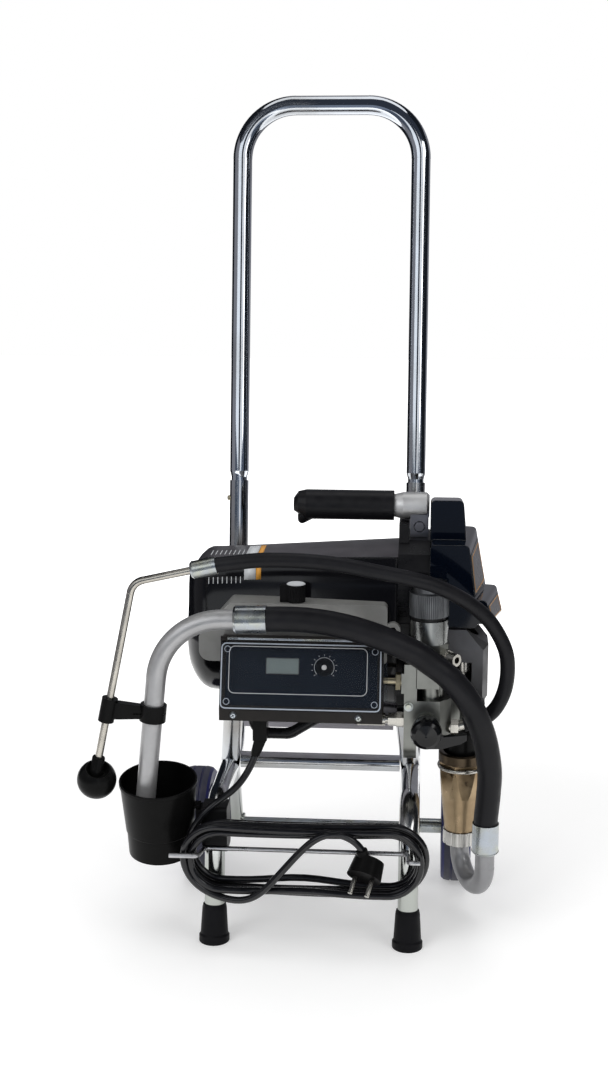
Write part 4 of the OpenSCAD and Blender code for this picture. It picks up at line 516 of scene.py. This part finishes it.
make_hose("rubber_suction_hose", "suction_hose", SUCTION_ROUTE, SUCTION_HOSE_D)
make_hose("rubber_drain_hose", "drain_hose", DRAIN_ROUTE, DRAIN_HOSE_D)

# The mains lead: from the angled inlet down into the hank on the hook, and out to the plug
LEAD_D = 7.5
LEAD_OUT = ((-61, 22, 203), (-65.5, 18.5, 192.5), (-71, 14, 181), (-80, 5, 169))

# The hank is an oval coil in the plane of the hook, wound in and out again in layers
HANK_MIDDLE = (-5.5, 106)
HANK_HALF_WIDTH = 118.05
HANK_HALF_HEIGHT = 30
HANK_PITCH = 8.3
HANK_LAYERS = 4
HANK_TURNS = 5.25
HANK_START = 10 / 24
HANK_STEPS = 72
HANK_CLIMB = 0.5
HANK_SAG = 3
HANK_Y = -8.26
HANK_APPROACH = 24

# At the middle of the bottom the inner strands are lifted and the outermost ones lowered
WAIST_LIFT = 7
WAIST_WIDTH = 48
WAIST_TURNOVER = 1.35
WAIST_REACH = 10.9

# From the hank out to the back of the plug; the arc is given by angle and by how far back it lies
TAIL_Y = -41.66
LEAD_TAIL = ((-70, TAIL_Y + 2, 60.5), (-53, TAIL_Y, 68), (-32, TAIL_Y, 93), (-13, TAIL_Y, 116))
PLUG_ARC_MIDDLE = (27.2, 116.3)
PLUG_ARC_RADIUS = 30
PLUG_ARC = ((145, 0), (120, 0), (90, 0), (60, 0.5), (36, 1.4))
PLUG_BACK = (56, TAIL_Y + 2, 125)
PLUG_MIDDLE = Vector((62, TAIL_Y + 4, 105))

# How the joins are eased: the spacing of points, how far each join reaches into the hank, the
# length over which the easing comes and goes, and how many times it runs
LEAD_STEP = 3
LEAD_JOIN = 80
LEAD_FADE = 50
LEAD_EASING = 60


def eased(f):
    """A smooth step from 0 to 1."""
    f = min(max(f, 0), 1)
    return f * f * (3 - 2 * f)


def oval(turn, w, h):
    """A point at a part of an oval with straight runs and round ends."""
    c = turn - math.floor(turn)
    e = w - h
    if c < 1 / 6:
        return w - h + h * math.cos(c * 3 * math.pi), h * math.sin(c * 3 * math.pi)
    if c < 1 / 3:
        return e - 2 * e * (c - 1 / 6) * 6, h
    if c < 2 / 3:
        angle = math.pi / 2 + (c - 1 / 3) * 3 * math.pi
        return -e + h * math.cos(angle), h * math.sin(angle)
    if c < 5 / 6:
        return -e + 2 * e * (c - 2 / 3) * 6, -h
    angle = 3 * math.pi / 2 + (c - 5 / 6) * 3 * math.pi
    return e + h * math.cos(angle), h * math.sin(angle)


def hank_point(turn):
    """A point of the hank after so many turns; each layer winds in or out."""
    layer_turns = HANK_TURNS / HANK_LAYERS
    layer, f = divmod(turn / layer_turns, 1)
    grow = (f if layer % 2 else 1 - f) * layer_turns * HANK_PITCH
    x, z = oval(turn + HANK_START, HANK_HALF_WIDTH + grow, HANK_HALF_HEIGHT + grow)
    depth = sum(eased((turn - k * layer_turns) / HANK_CLIMB + 0.5)
                for k in range(1, HANK_LAYERS))
    sag = HANK_SAG * (1 - (x / HANK_HALF_WIDTH) ** 2)
    if z < 0:
        share = 1 - WAIST_TURNOVER * min(grow / WAIST_REACH, 1)
        sag -= WAIST_LIFT * math.exp(-(x / WAIST_WIDTH) ** 2) * share
    return Vector((HANK_MIDDLE[0] + x, HANK_Y - depth * HANK_PITCH, HANK_MIDDLE[1] + z - sag))


def plug_arc():
    """The lead's last easy bend, which ends in line with the plug."""
    found = []
    for degrees, back in PLUG_ARC:
        angle = math.radians(degrees)
        found.append((PLUG_ARC_MIDDLE[0] + PLUG_ARC_RADIUS * math.cos(angle), TAIL_Y + back,
                      PLUG_ARC_MIDDLE[1] + PLUG_ARC_RADIUS * math.sin(angle)))
    return found


def lead_points():
    """The whole lead: its free stretch, the hank and the tail to the plug, with eased joins."""
    hank = [hank_point(k / HANK_STEPS) for k in range(round(HANK_TURNS * HANK_STEPS) + 1)]
    way_in = (hank[0] - hank[3]).normalized()
    way_out = (hank[-1] - hank[-4]).normalized()
    lead = curve_points([*LEAD_OUT, hank[0] + way_in * HANK_APPROACH, hank[0] + way_in * LEAD_D,
                         hank[0]], CORD_STEPS)
    tail = curve_points([hank[-1], hank[-1] + way_out * LEAD_D, *LEAD_TAIL, *plug_arc(),
                         PLUG_BACK], CORD_STEPS)
    first = run_length(lead)
    return relaxed(lead[:-1] + hank + tail[1:], first + LEAD_JOIN,
                   first + run_length(hank) - LEAD_JOIN)


def evenly(points, step):
    """The same line with a point every so many millimetres."""
    found, ahead = [points[0]], step
    for a, b in zip(points, points[1:]):
        span = (b - a).length
        along = ahead
        while along <= span:
            found.append(a.lerp(b, along / span))
            along += step
        ahead = along - span
    return found + [points[-1]]


def relaxed(points, hank_from, hank_to):
    """Eases the lead's free stretches and both ends of the hank; the turns between them and the
    lead's own ends stay."""
    line = evenly(points, LEAD_STEP)
    length = len(line) * LEAD_STEP
    shares = []
    for k in range(len(line)):
        along = k * LEAD_STEP
        from_hank = max(hank_from - along, along - hank_to)
        from_end = min(along, length - along) - LEAD_STEP
        shares.append(eased(from_hank / LEAD_FADE) * eased(from_end / (LEAD_FADE / 2)))
    for _ in range(LEAD_EASING):
        line = [line[0]] + [b.lerp((a + 2 * b + c) / 4, share) for a, b, c, share
                            in zip(line, line[1:], line[2:], shares[1:])] + [line[-1]]
    return line


def make_lead():
    """The mains lead and its hank as one cord, which stands for both solids."""
    points = lead_points()
    lead = wire("mains_cable", [points], LEAD_D, "cable", roundness=CORD_ROUNDNESS)
    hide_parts("mains_lead", "mains_loops")


make_lead()


# ---------------------------------------------------------------- pieces made here

SHARP_ANGLE = 34


def mesh_piece(name, points, faces, material, body="frame"):
    """A smooth mesh with its points in the cart's frame, in millimetres."""
    mesh = bpy.data.meshes.new(name)
    mesh.from_pydata([at(*point) for point in points], [], faces)
    mesh.materials.append(MATERIALS[material])
    mesh.shade_smooth()
    mesh.set_sharp_from_angle(angle=math.radians(SHARP_ANGLE))
    piece = bpy.data.objects.new(name, mesh)
    bpy.context.scene.collection.objects.link(piece)
    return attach(piece, body)


def cross_axes(direction):
    """Two unit vectors at right angles to a direction."""
    direction = direction.normalized()
    side = direction.cross(Vector((0, 0, 1)) if abs(direction.z) < 0.9 else Vector((0, 1, 0)))
    side.normalize()
    return side, direction.cross(side)


def lathe(name, start, direction, profile, material, body="frame", sides=48):
    """A turned piece: the profile gives radius and distance along its axis, end to end."""
    start, direction = Vector(start), Vector(direction).normalized()
    side, other = cross_axes(direction)
    points, faces = [], []
    for radius, along in profile:
        for k in range(sides):
            angle = 2 * math.pi * k / sides
            points.append(start + direction * along
                          + (side * math.cos(angle) + other * math.sin(angle)) * radius)
    for ring in range(len(profile) - 1):
        for k in range(sides):
            a, b = ring * sides + k, ring * sides + (k + 1) % sides
            faces.append((a, b, b + sides, a + sides))
    faces.append(tuple(reversed(range(sides))))
    faces.append(tuple(range((len(profile) - 1) * sides, len(profile) * sides)))
    return mesh_piece(name, points, faces, material, body)


# ---------------------------------------------------------------- second finishes of single nodes

KNOB_CAP_Z = 384.2
PLUG_BODY_RADIUS, PLUG_BODY_Z = 22, 100
SENSOR_NUT_X = 98
VALVE_BODY_Y = 15
BRACKET_FOOT_Z = 438
BRACKET_NUT = Vector((110, 132, 434))
NUT_FACE_Y = 136
PACKING_NUT_Z = 150


def on_spacer(p):
    """Whether a point lies on one of the axle's two spacers."""
    return -129.5 < p.x < -117 or 117 < p.x < 141.5


dress_where("pressure_knob", "pale_print", lambda p: p.z > KNOB_CAP_Z)
dress_where("mains_plug", "nickel",
            lambda p: (p - PLUG_MIDDLE).length > PLUG_BODY_RADIUS and p.z < PLUG_BODY_Z)
dress_where("transducer", "brass", lambda p: p.x < SENSOR_NUT_X)
dress_where("prime_valve", "manifold_nickel", lambda p: p.y > VALVE_BODY_Y)
dress_where("carry_bracket", "deep_black", lambda p: p.z < BRACKET_FOOT_Z)
dress_where("carry_bracket", "dark_nut",
            lambda p: (p - BRACKET_NUT).length < 15 and p.y < NUT_FACE_Y)
dress_where("pump_nuts", "dark_brass", lambda p: p.z > PACKING_NUT_Z)
dress_where("fasteners", "dark_nut", lambda p: (p - BRACKET_NUT).length < 14)
dress_where("axle_caps", "zinc", on_spacer)


# ---------------------------------------------------------------- labels that lie on a surface

def solid_of(obj):
    """The mesh of a piece as a tree that rays can meet, in the cart's frame."""
    mesh = obj.data
    return BVHTree.FromPolygons([(v.co - HOME) / MM for v in mesh.vertices],
                                [tuple(face.vertices) for face in mesh.polygons])


def laid(solid, rays, lift):
    """Where rays meet a solid, lifted off its surface."""
    found = []
    for start, direction in rays:
        place, normal, _, _ = solid.ray_cast(Vector(start), Vector(direction))
        if place is None:
            raise ValueError(f"a label's ray from {start} meets nothing")
        found.append(place + normal * math.copysign(lift, -normal.dot(Vector(direction))))
    return found


LABEL_THICKNESS = 0.3


def label(name, solid, rows, lift, material):
    """A thin sheet laid on a solid, from rows of rays."""
    points = [point for row in rows for point in laid(solid, row, lift)]
    width = len(rows[0])
    faces = [(a, a + 1, a + 1 + width, a + width)
             for row in range(len(rows) - 1) for a in range(row * width, row * width + width - 1)]
    piece = mesh_piece(name, points, faces, material)
    thick = piece.modifiers.new("thickness", "SOLIDIFY")
    thick.thickness = LABEL_THICKNESS * MM
    thick.offset = 0
    return piece


# ---------------------------------------------------------------- motor cover
# A boxy shell, round at the back, with a crisp edge along the front of its lid. It widens and its
# front grows taller to the right, and its lid rises. Its left end is drawn in

COVER_AXIS = (145, 318)
COVER_LEFT, COVER_RIGHT = -143, 88
COVER_PLACES = (-143, -142, -140, -137, -133, -128, -122, -112, -95, -70, -40, -10, 20, 50, 75, 88)
COVER_WIDE = 93
COVER_HALF_DEPTHS = (76, 95)
END_LENGTH = 24
END_SHRINK = 0.5

# The front, as y and z from the axis, from mid height up to the lid's edge
COVER_SECTION = ((-93, 0), (-88, 15), (-80, 30), (-74, 45), (-70.5, 60), (-67, 75), (-60, 88))
FRONT_SCALE, FRONT_GROWTH = 0.96, 0.08
LID_HEIGHT, LID_RISE = 85, 12
LID_BEND_X, LID_SPAN = -104, 190
LID_FACES = 9


def cover_section(x):
    """Points round the shell at x, from the front at mid height, over the lid and under."""
    along = (x - COVER_LEFT) / (COVER_RIGHT - COVER_LEFT)
    left, right = COVER_HALF_DEPTHS
    side = (left + (right - left) * along) / COVER_WIDE
    inset = max(0, 1 - (x - COVER_LEFT) / END_LENGTH)
    end = math.sqrt(1 - END_SHRINK * inset ** 2)
    lid = LID_HEIGHT + LID_RISE * max(0, (x - LID_BEND_X) / LID_SPAN)
    front = [(y * side, z * (FRONT_SCALE + FRONT_GROWTH * along)) for y, z in COVER_SECTION]
    edge_y, edge_z = front[-1]
    top = [(edge_y * (1 - f), edge_z + (lid - edge_z) * math.sin(f * math.pi / 2))
           for f in (0.33, 0.66, 1)]
    wide = COVER_WIDE * side
    turns = [math.radians(10 * k) for k in range(1, 9)]
    back = [(wide * math.sin(a), lid * math.cos(a)) for a in turns] + [(wide, 0)]
    turns = [math.radians(15 * k) for k in range(1, 12)]
    under = [(wide * math.cos(a), -wide * math.sin(a)) for a in turns]
    ring = front + top + back + under
    return [Vector((x, COVER_AXIS[0] + y * end, COVER_AXIS[1] + z * end)) for y, z in ring]


def make_motor_cover():
    """The shell through all its sections, with its lid in the satin finish, whose colour is
    painted lighter than the front: painted light on the top.
    """
    rings = [cover_section(x) for x in COVER_PLACES]
    count = len(rings[0])
    points = [point for ring in rings for point in ring]
    faces = [(r * count + k, r * count + (k + 1) % count, (r + 1) * count + (k + 1) % count,
              (r + 1) * count + k) for r in range(len(rings) - 1) for k in range(count)]
    faces += [tuple(reversed(range(count))), tuple(range(len(points) - count, len(points)))]
    shell = mesh_piece("motor_shell", points, faces, "gloss_black")
    shell.data.materials.append(MATERIALS["lid_satin"])
    edge = len(COVER_SECTION) - 1
    for index in range((len(rings) - 1) * count):
        if edge <= index % count < edge + LID_FACES:
            shell.data.polygons[index].material_index = 1
    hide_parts("motor_cover")
    return shell


def round_the_cover(x, angle):
    """A ray towards the motor's axis, from so many degrees above the front."""
    a = math.radians(angle)
    return ((x, COVER_AXIS[0] - 200 * math.cos(a), COVER_AXIS[1] + 200 * math.sin(a)),
            (0, math.cos(a), -math.sin(a)))


cover_solid = solid_of(make_motor_cover())
LABEL_ANGLES = (46, 50, 52, 54.8, 57, 62, 70, 80, 90)
LABEL_TICK_ANGLES = ((44, 46, 48), (66, 70, 74, 78))
LABEL_TICK_PLACES = range(-118, -79, 5)
for name, left, right, material in (("cover_strip", -66, -60.5, "orange"),
                                    ("cover_label", -79, -66.4, "pale_print")):
    label(name, cover_solid, [[round_the_cover(x, angle) for angle in LABEL_ANGLES]
                              for x in (left, right)], 0.25, material)
wire("cover_ticks", [laid(cover_solid, [round_the_cover(x, angle) for angle in angles], 0.1)
                     for x in LABEL_TICK_PLACES for angles in LABEL_TICK_ANGLES], 0.9,
     "pale_print")

# The front cover's flared side: two grey panels with orange pinstripes. A panel is given by its
# corners (y, z), and its stripe by parts of the panel's width and height
side_solid = solid_of(ALL_NODES["front_cover"])
PANEL_UPPER = ((76, 369), (193, 358), (193, 408), (76, 415))
PANEL_LOWER = ((77, 342), (193, 323), (193, 344), (77, 359))
PANEL_STEPS = [k / 8 for k in range(9)]
STRIPE_CORNERS = ((0.05, 0.08), (0.05, 0.92), (0.95, 0.92), (0.95, 0.08))


def side_ray(corners, across, up):
    """A ray from the right at a part of a panel given by its corners (y, z)."""
    low = [a + (b - a) * across for a, b in zip(corners[0], corners[1])]
    high = [a + (b - a) * across for a, b in zip(corners[3], corners[2])]
    y, z = (a + (b - a) * up for a, b in zip(low, high))
    return (300, y, z), (-1, 0, 0)


def side_label(name, corners):
    """One grey panel and its pinstripe."""
    sheet = label(name, side_solid,
                  [[side_ray(corners, a, u) for u in PANEL_STEPS] for a in PANEL_STEPS],
                  0.35, "label_grey")
    stripe = [(a + (c - a) * k, b + (d - b) * k)
              for (a, b), (c, d) in zip(STRIPE_CORNERS, STRIPE_CORNERS[1:] + STRIPE_CORNERS[:1])
              for k in PANEL_STEPS]
    wire(name + "_stripe", [laid(side_solid, [side_ray(corners, a, u) for a, u in stripe], 0.5)],
         0.7, "orange")
    return sheet


upper = side_label("side_label_upper", PANEL_UPPER)
side_label("side_label_lower", PANEL_LOWER)
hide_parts("side_panel")


# ---------------------------------------------------------------- ring under the pump's lock nut

PUMP_AXIS = (161, 97)
LOCK_RING_Z = 170.6
LOCK_RING_RADIUS = 24.4
LOCK_RING_WIRE = 5
RING_STEPS = 64


def level_ring(x, y, z, radius):
    """A closed level circle."""
    turns = [2 * math.pi * k / RING_STEPS for k in range(RING_STEPS + 1)]
    return [Vector((x + radius * math.cos(a), y + radius * math.sin(a), z)) for a in turns]


wire("lock_ring", [level_ring(*PUMP_AXIS, LOCK_RING_Z, LOCK_RING_RADIUS)], LOCK_RING_WIRE,
     "nickel")


# ---------------------------------------------------------------- diffuser of the drain tube

# Profiles give radius and distance along the axis
DRAIN_BEND = Vector((-184.5, -6, 398.5))
DRAIN_END = Vector((-227, -6, 198))
DRAIN_AIM = (DRAIN_END - DRAIN_BEND).normalized()
BELL_MIDDLE = Vector((-228.6, -4, 180.6))
BELL_AIM = (-0.2, 0.45, -0.87)
BELL_PROFILE = (
    (5, -9.5), (8, -10), (10.6, -12.6), (11.8, -15.6), (12.6, -16.7), (13.6, -16.6), (15.4, -14.6),
    (17.8, -11.4), (19.7, -7.4), (20.8, -3.2), (21, 0), (20.8, 3.4), (19.6, 7.6), (17.6, 11.4),
    (15, 14.4), (13.8, 15.2), (12.4, 15), (12, 12),
)
NECK_PROFILE = ((5.2, -9.5), (6.4, -9.2), (6.9, -8), (6.9, 2), (7.5, 3), (7.9, 8), (7.9, 14))
bell = lathe("diffuser_bell", BELL_MIDDLE, BELL_AIM, BELL_PROFILE, "deep_black")
lathe("diffuser_neck", DRAIN_END, DRAIN_AIM, NECK_PROFILE, "deep_black")
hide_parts("diffuser")


# ---------------------------------------------------------------- control panel and clear cover
# The slanted face has its own frame: x across from the box's middle, up along it, out from it

FACE_MIDDLE = Vector((-11, 0, 261))
FACE_SLANT = math.atan2(69, 24)
FACE_UP = Vector((0, math.cos(FACE_SLANT), math.sin(FACE_SLANT)))
FACE_OUT = Vector((0, -math.sin(FACE_SLANT), math.cos(FACE_SLANT)))


def on_face(x, up, out):
    """A point of the slanted face's own frame, in the cart's frame."""
    return FACE_MIDDLE + Vector((x, 0, 0)) + FACE_UP * up + FACE_OUT * out


def face_place(p):
    """Where a point of the cart's frame lies on the slanted face: across, up and out."""
    away = p - FACE_MIDDLE
    return away.x, away.dot(FACE_UP), away.dot(FACE_OUT)


CORNER_STEPS = 6
CIRCLE_STEPS = 40


def round_box(left, right, low, high, radius, out):
    """A closed line round a rectangle with round corners on the slanted face."""
    line = []
    corners = ((right, low, -90), (right, high, 0), (left, high, 90), (left, low, 180))
    for x, up, first in corners:
        cx = x - math.copysign(radius, x - (left + right) / 2)
        cup = up - math.copysign(radius, up - (low + high) / 2)
        for k in range(CORNER_STEPS + 1):
            angle = math.radians(first + 90 * k / CORNER_STEPS)
            line.append(on_face(cx + radius * math.cos(angle),
                                cup + radius * math.sin(angle), out))
    return line + [line[0]]


def face_circle(x, up, radius, out, first=0, last=360):
    """A circle on the slanted face, or the part of it between two angles in degrees."""
    line = []
    for k in range(CIRCLE_STEPS + 1):
        angle = math.radians(first + (last - first) * k / CIRCLE_STEPS)
        line.append(on_face(x + radius * math.cos(angle), up + radius * math.sin(angle), out))
    return line


# Rectangles are left, right, low, high and corner radius
DISPLAY_MIDDLE = (-20, 47)
DISPLAY_HALF = (16.95, 7.95)
DISPLAY_DEPTH = (-1.7, -0.4)
DISPLAY_FRAME = (-37.4, -2.6, 38.6, 55.4, 1.2)
FRAME_OUT = -0.5
DIAL_MIDDLE = (24, 46.5)
DIAL_RADIUS = 10.4
DIAL_OUT = -0.55
DIAL_ANGLES = (-45, 225)
TICK_RADII = (12, 13.8)
TICK_FIRST, TICK_APART, TICKS = -40, 26, 11
CLEAR_FRONT = 8.4
CLEAR_PRINT = (-75.5, 69.5, 17.5, 66.6, 6)
CLEAR_RIM = (-83.6, 83.6, 1.6, 69.6, 5)
BOSS_RADIUS = 3.1
BOSSES = [(x, up) for x in (-77.5, 77.5) for up in (8.5, 63.5)]


def in_display(p):
    """Whether a point lies on the bottom of the panel's display window."""
    x, up, out = face_place(p)
    return (abs(x - DISPLAY_MIDDLE[0]) < DISPLAY_HALF[0]
            and abs(up - DISPLAY_MIDDLE[1]) < DISPLAY_HALF[1]
            and DISPLAY_DEPTH[0] < out < DISPLAY_DEPTH[1])


dress_where("control_panel", "display", in_display)
ALL_NODES["clear_cover"].visible_shadow = False
wire("cover_outline", [round_box(*CLEAR_PRINT, CLEAR_FRONT)], 0.7, "pale_print", "cover")
# Painted highlight: a pale rod along the clear cover's edge and pale rings round its bosses stand
# for the light its acrylic edges catch
wire("cover_edge_glint", [round_box(*CLEAR_RIM, CLEAR_FRONT - 0.5)], 1.6, "acrylic_edge", "cover")
wire("cover_bosses", [face_circle(x, up, BOSS_RADIUS, CLEAR_FRONT) for x, up in BOSSES], 0.7,
     "acrylic_edge", "cover")
turns = [math.radians(TICK_FIRST + TICK_APART * k) for k in range(TICKS)]
ticks = [[on_face(DIAL_MIDDLE[0] + math.cos(a) * r, DIAL_MIDDLE[1] + math.sin(a) * r, DIAL_OUT)
          for r in TICK_RADII] for a in turns]
wire("dial_print", [face_circle(*DIAL_MIDDLE, DIAL_RADIUS, DIAL_OUT, *DIAL_ANGLES), *ticks], 0.55,
     "pale_print")
lathe("button_dot", on_face(*DIAL_MIDDLE, 0.7), FACE_OUT, [(2.7, 0), (2.7, 0.25), (2.3, 0.4)],
      "white_cap", "button", 24)
wire("display_frame", [round_box(*DISPLAY_FRAME, FRAME_OUT)], 0.5, "label_grey")

# A dark cross on the head of each of the two screws on the box's front: painted shade standing for
# the hollow of its recess
SCREW_PLACES = (-82, 50)
SCREW_FACE = (-2.35, 255)
SCREW_TILTS = (25, 115)
SCREW_ARM = 2
for k, x in enumerate(SCREW_PLACES):
    for tilt in SCREW_TILTS:
        angle = math.radians(tilt)
        arm = Vector((math.cos(angle), 0, math.sin(angle))) * SCREW_ARM
        head = Vector((x, *SCREW_FACE))
        wire(f"screw_cross_{k}_{tilt}", [[head - arm, head + arm]], 0.9, "seal")


# ---------------------------------------------------------------- floor, backdrop and light

# The floor is square, sizes in metres, and turns white from WHITE_NEAR to WHITE_FAR away from
# the point under the cart's middle
FLOOR_HALF = 6
FLOOR_MIDDLE = (0, 120, 0)
FLOOR_GREY = 0.8
FLOOR_LIFT = 0.3
WHITE_NEAR = 0.45
WHITE_FAR = 1.5
WORLD_LIGHT = 0.42


def behind_the_object(tree):
    """1 for camera, glossy and transmission rays, which see the white background."""
    path = tree.nodes.new("ShaderNodeLightPath")
    total = path.outputs["Is Camera Ray"]
    for name in ("Is Glossy Ray", "Is Transmission Ray"):
        add = tree.nodes.new("ShaderNodeMath")
        add.operation = "MAXIMUM"
        tree.links.new(total, add.inputs[0])
        tree.links.new(path.outputs[name], add.inputs[1])
        total = add.outputs[0]
    return total


def make_floor():
    """A pale floor that keeps the soft shadow near the cart and turns white further off."""
    half = FLOOR_HALF
    mesh = bpy.data.meshes.new("floor")
    mesh.from_pydata([(-half, -half, 0), (half, -half, 0), (half, half, 0), (-half, half, 0)], [],
                     [(0, 1, 2, 3)])
    floor = bpy.data.objects.new("floor", mesh)
    bpy.context.scene.collection.objects.link(floor)
    material = bpy.data.materials.new("floor")
    material.use_nodes = True
    tree = material.node_tree
    shader = tree.nodes["Principled BSDF"]
    shader.inputs["Base Color"].default_value = (FLOOR_GREY, FLOOR_GREY, FLOOR_GREY, 1)
    shader.inputs["Roughness"].default_value = 0.9
    shader.inputs["Emission Color"].default_value = (1, 1, 1, 1)
    place = tree.nodes.new("ShaderNodeTexCoord")
    away = tree.nodes.new("ShaderNodeVectorMath")
    away.operation = "DISTANCE"
    away.inputs[1].default_value = at(*FLOOR_MIDDLE)
    tree.links.new(place.outputs["Object"], away.inputs[0])
    lift = tree.nodes.new("ShaderNodeMapRange")
    lift.interpolation_type = "SMOOTHSTEP"
    for key, value in zip(RANGE_SOCKETS, (WHITE_NEAR, WHITE_FAR, FLOOR_LIFT, 1)):
        lift.inputs[key].default_value = value
    tree.links.new(away.outputs["Value"], lift.inputs["Value"])
    seen = tree.nodes.new("ShaderNodeMath")
    seen.operation = "MULTIPLY"
    tree.links.new(lift.outputs["Result"], seen.inputs[0])
    tree.links.new(behind_the_object(tree), seen.inputs[1])
    tree.links.new(seen.outputs[0], shader.inputs["Emission Strength"])
    mesh.materials.append(material)


def make_world():
    """A white background, and plain even light at a lower level on the object."""
    world = bpy.data.worlds.new("world")
    bpy.context.scene.world = world
    world.use_nodes = True
    tree = world.node_tree
    light = tree.nodes["Background"]
    light.inputs["Color"].default_value = (1, 1, 1, 1)
    strength = tree.nodes.new("ShaderNodeMapRange")
    strength.inputs["To Min"].default_value = WORLD_LIGHT
    strength.inputs["To Max"].default_value = 1.0
    tree.links.new(behind_the_object(tree), strength.inputs["Value"])
    tree.links.new(strength.outputs["Result"], light.inputs["Strength"])


# Lamps aim at this point and the cards stand round it; a card's profile is radius and height
CART_MIDDLE = (20, 150, 430)
LOW_WALL = ((1250, 3), (2300, 3), (2300, 850))
HIGH_WALL = ((2300, 850), (2300, 2000))
TALL_WALL = LOW_WALL[:2] + HIGH_WALL[1:]
ROOF = ((2300, 2000), (1300, 2900))
HOOD = ROOF + ((450, 3300),)
CARD_STEPS = 16

NEAR_BLACK = (0.01, 0.012, 0.016)
BACK_GREY = (0.22, 0.22, 0.24)
BRIGHT_BLUE = (0.32, 0.37, 0.46)
SIDE_BLUE = (0.18, 0.21, 0.27)
PALE_BLUE = (0.92, 0.96, 1.0)
DIM_BLUE = (0.07, 0.085, 0.115)
HOOD_BLUE = (0.03, 0.036, 0.05)
CARDS = (
    (0, 8, LOW_WALL, BRIGHT_BLUE), (19, 31, LOW_WALL, BRIGHT_BLUE), (31, 64, LOW_WALL, DIM_BLUE),
    (-12, 8, HIGH_WALL, HOOD_BLUE), (24, 28, HIGH_WALL, BRIGHT_BLUE),
    (48, 64, HIGH_WALL, NEAR_BLACK), (64, 120, TALL_WALL, NEAR_BLACK),
    (120, 166, TALL_WALL, BACK_GREY), (166, 194, TALL_WALL, BACK_GREY),
    (194, 256, TALL_WALL, NEAR_BLACK), (256, 308, TALL_WALL, BACK_GREY),
    (308, 348, HIGH_WALL, PALE_BLUE), (302, 343, LOW_WALL, DIM_BLUE),
    (343, 360, LOW_WALL, SIDE_BLUE), (-64, 8, HOOD, HOOD_BLUE), (8, 64, HOOD, HOOD_BLUE),
    (64, 166, ROOF, NEAR_BLACK), (166, 194, ROOF, BACK_GREY), (194, 296, ROOF, NEAR_BLACK),
)


def soft_light(name, place, size, power, glossy=True):
    """A soft rectangular lamp, size in metres; glossy says whether reflections see it."""
    data = bpy.data.lights.new(name, "AREA")
    data.shape = "RECTANGLE"
    data.size, data.size_y = size
    data.energy = power
    lamp = bpy.data.objects.new(name, data)
    lamp.location = at(*place)
    aim = at(*CART_MIDDLE) - at(*place)
    lamp.rotation_euler = aim.to_track_quat("-Z", "Y").to_euler()
    bpy.context.scene.collection.objects.link(lamp)
    lamp.visible_camera = False
    lamp.visible_glossy = glossy
    lamp.visible_transmission = False


def card(name, first, last, profile, color):
    """A curved card, dark or pale, that glows with its own colour and that only reflections see,
    as a photographer sets round chrome; its angles are in degrees, from straight ahead of the
    cart."""
    rows = len(profile)
    points, faces = [], []
    for k in range(CARD_STEPS + 1):
        angle = math.radians(first + (last - first) * k / CARD_STEPS)
        for radius, height in profile:
            points.append(at(CART_MIDDLE[0] + radius * math.sin(angle),
                             CART_MIDDLE[1] - radius * math.cos(angle), height))
        if k:
            row = range(k * rows, k * rows + rows - 1)
            faces += [(a - rows, a, a + 1, a + 1 - rows) for a in row]
    mesh = bpy.data.meshes.new(name)
    mesh.from_pydata(points, [], faces)
    glow = bpy.data.materials.new(name)
    glow.use_nodes = True
    shader = glow.node_tree.nodes["Principled BSDF"]
    shader.inputs["Base Color"].default_value = (0, 0, 0, 1)
    shader.inputs["Specular IOR Level"].default_value = 0
    shader.inputs["Emission Color"].default_value = (*color, 1)
    shader.inputs["Emission Strength"].default_value = 1
    mesh.materials.append(glow)
    wall = bpy.data.objects.new(name, mesh)
    bpy.context.scene.collection.objects.link(wall)
    wall.visible_camera = False
    wall.visible_diffuse = False
    wall.visible_transmission = False
    wall.visible_shadow = False


make_floor()
make_world()
soft_light("key", (-1500, -1700, 1900), (1.5, 1.5), 29)
soft_light("fill", (1900, -1300, 1300), (1.2, 1.6), 12)
soft_light("top", (0, 100, 2500), (2.2, 1.6), 20, False)
soft_light("back", (400, 2200, 1700), (1.6, 1.2), 12, False)
for k, sector in enumerate(CARDS):
    card(f"wall_{k}", *sector)

bpy.context.scene.view_settings.view_transform = "Standard"
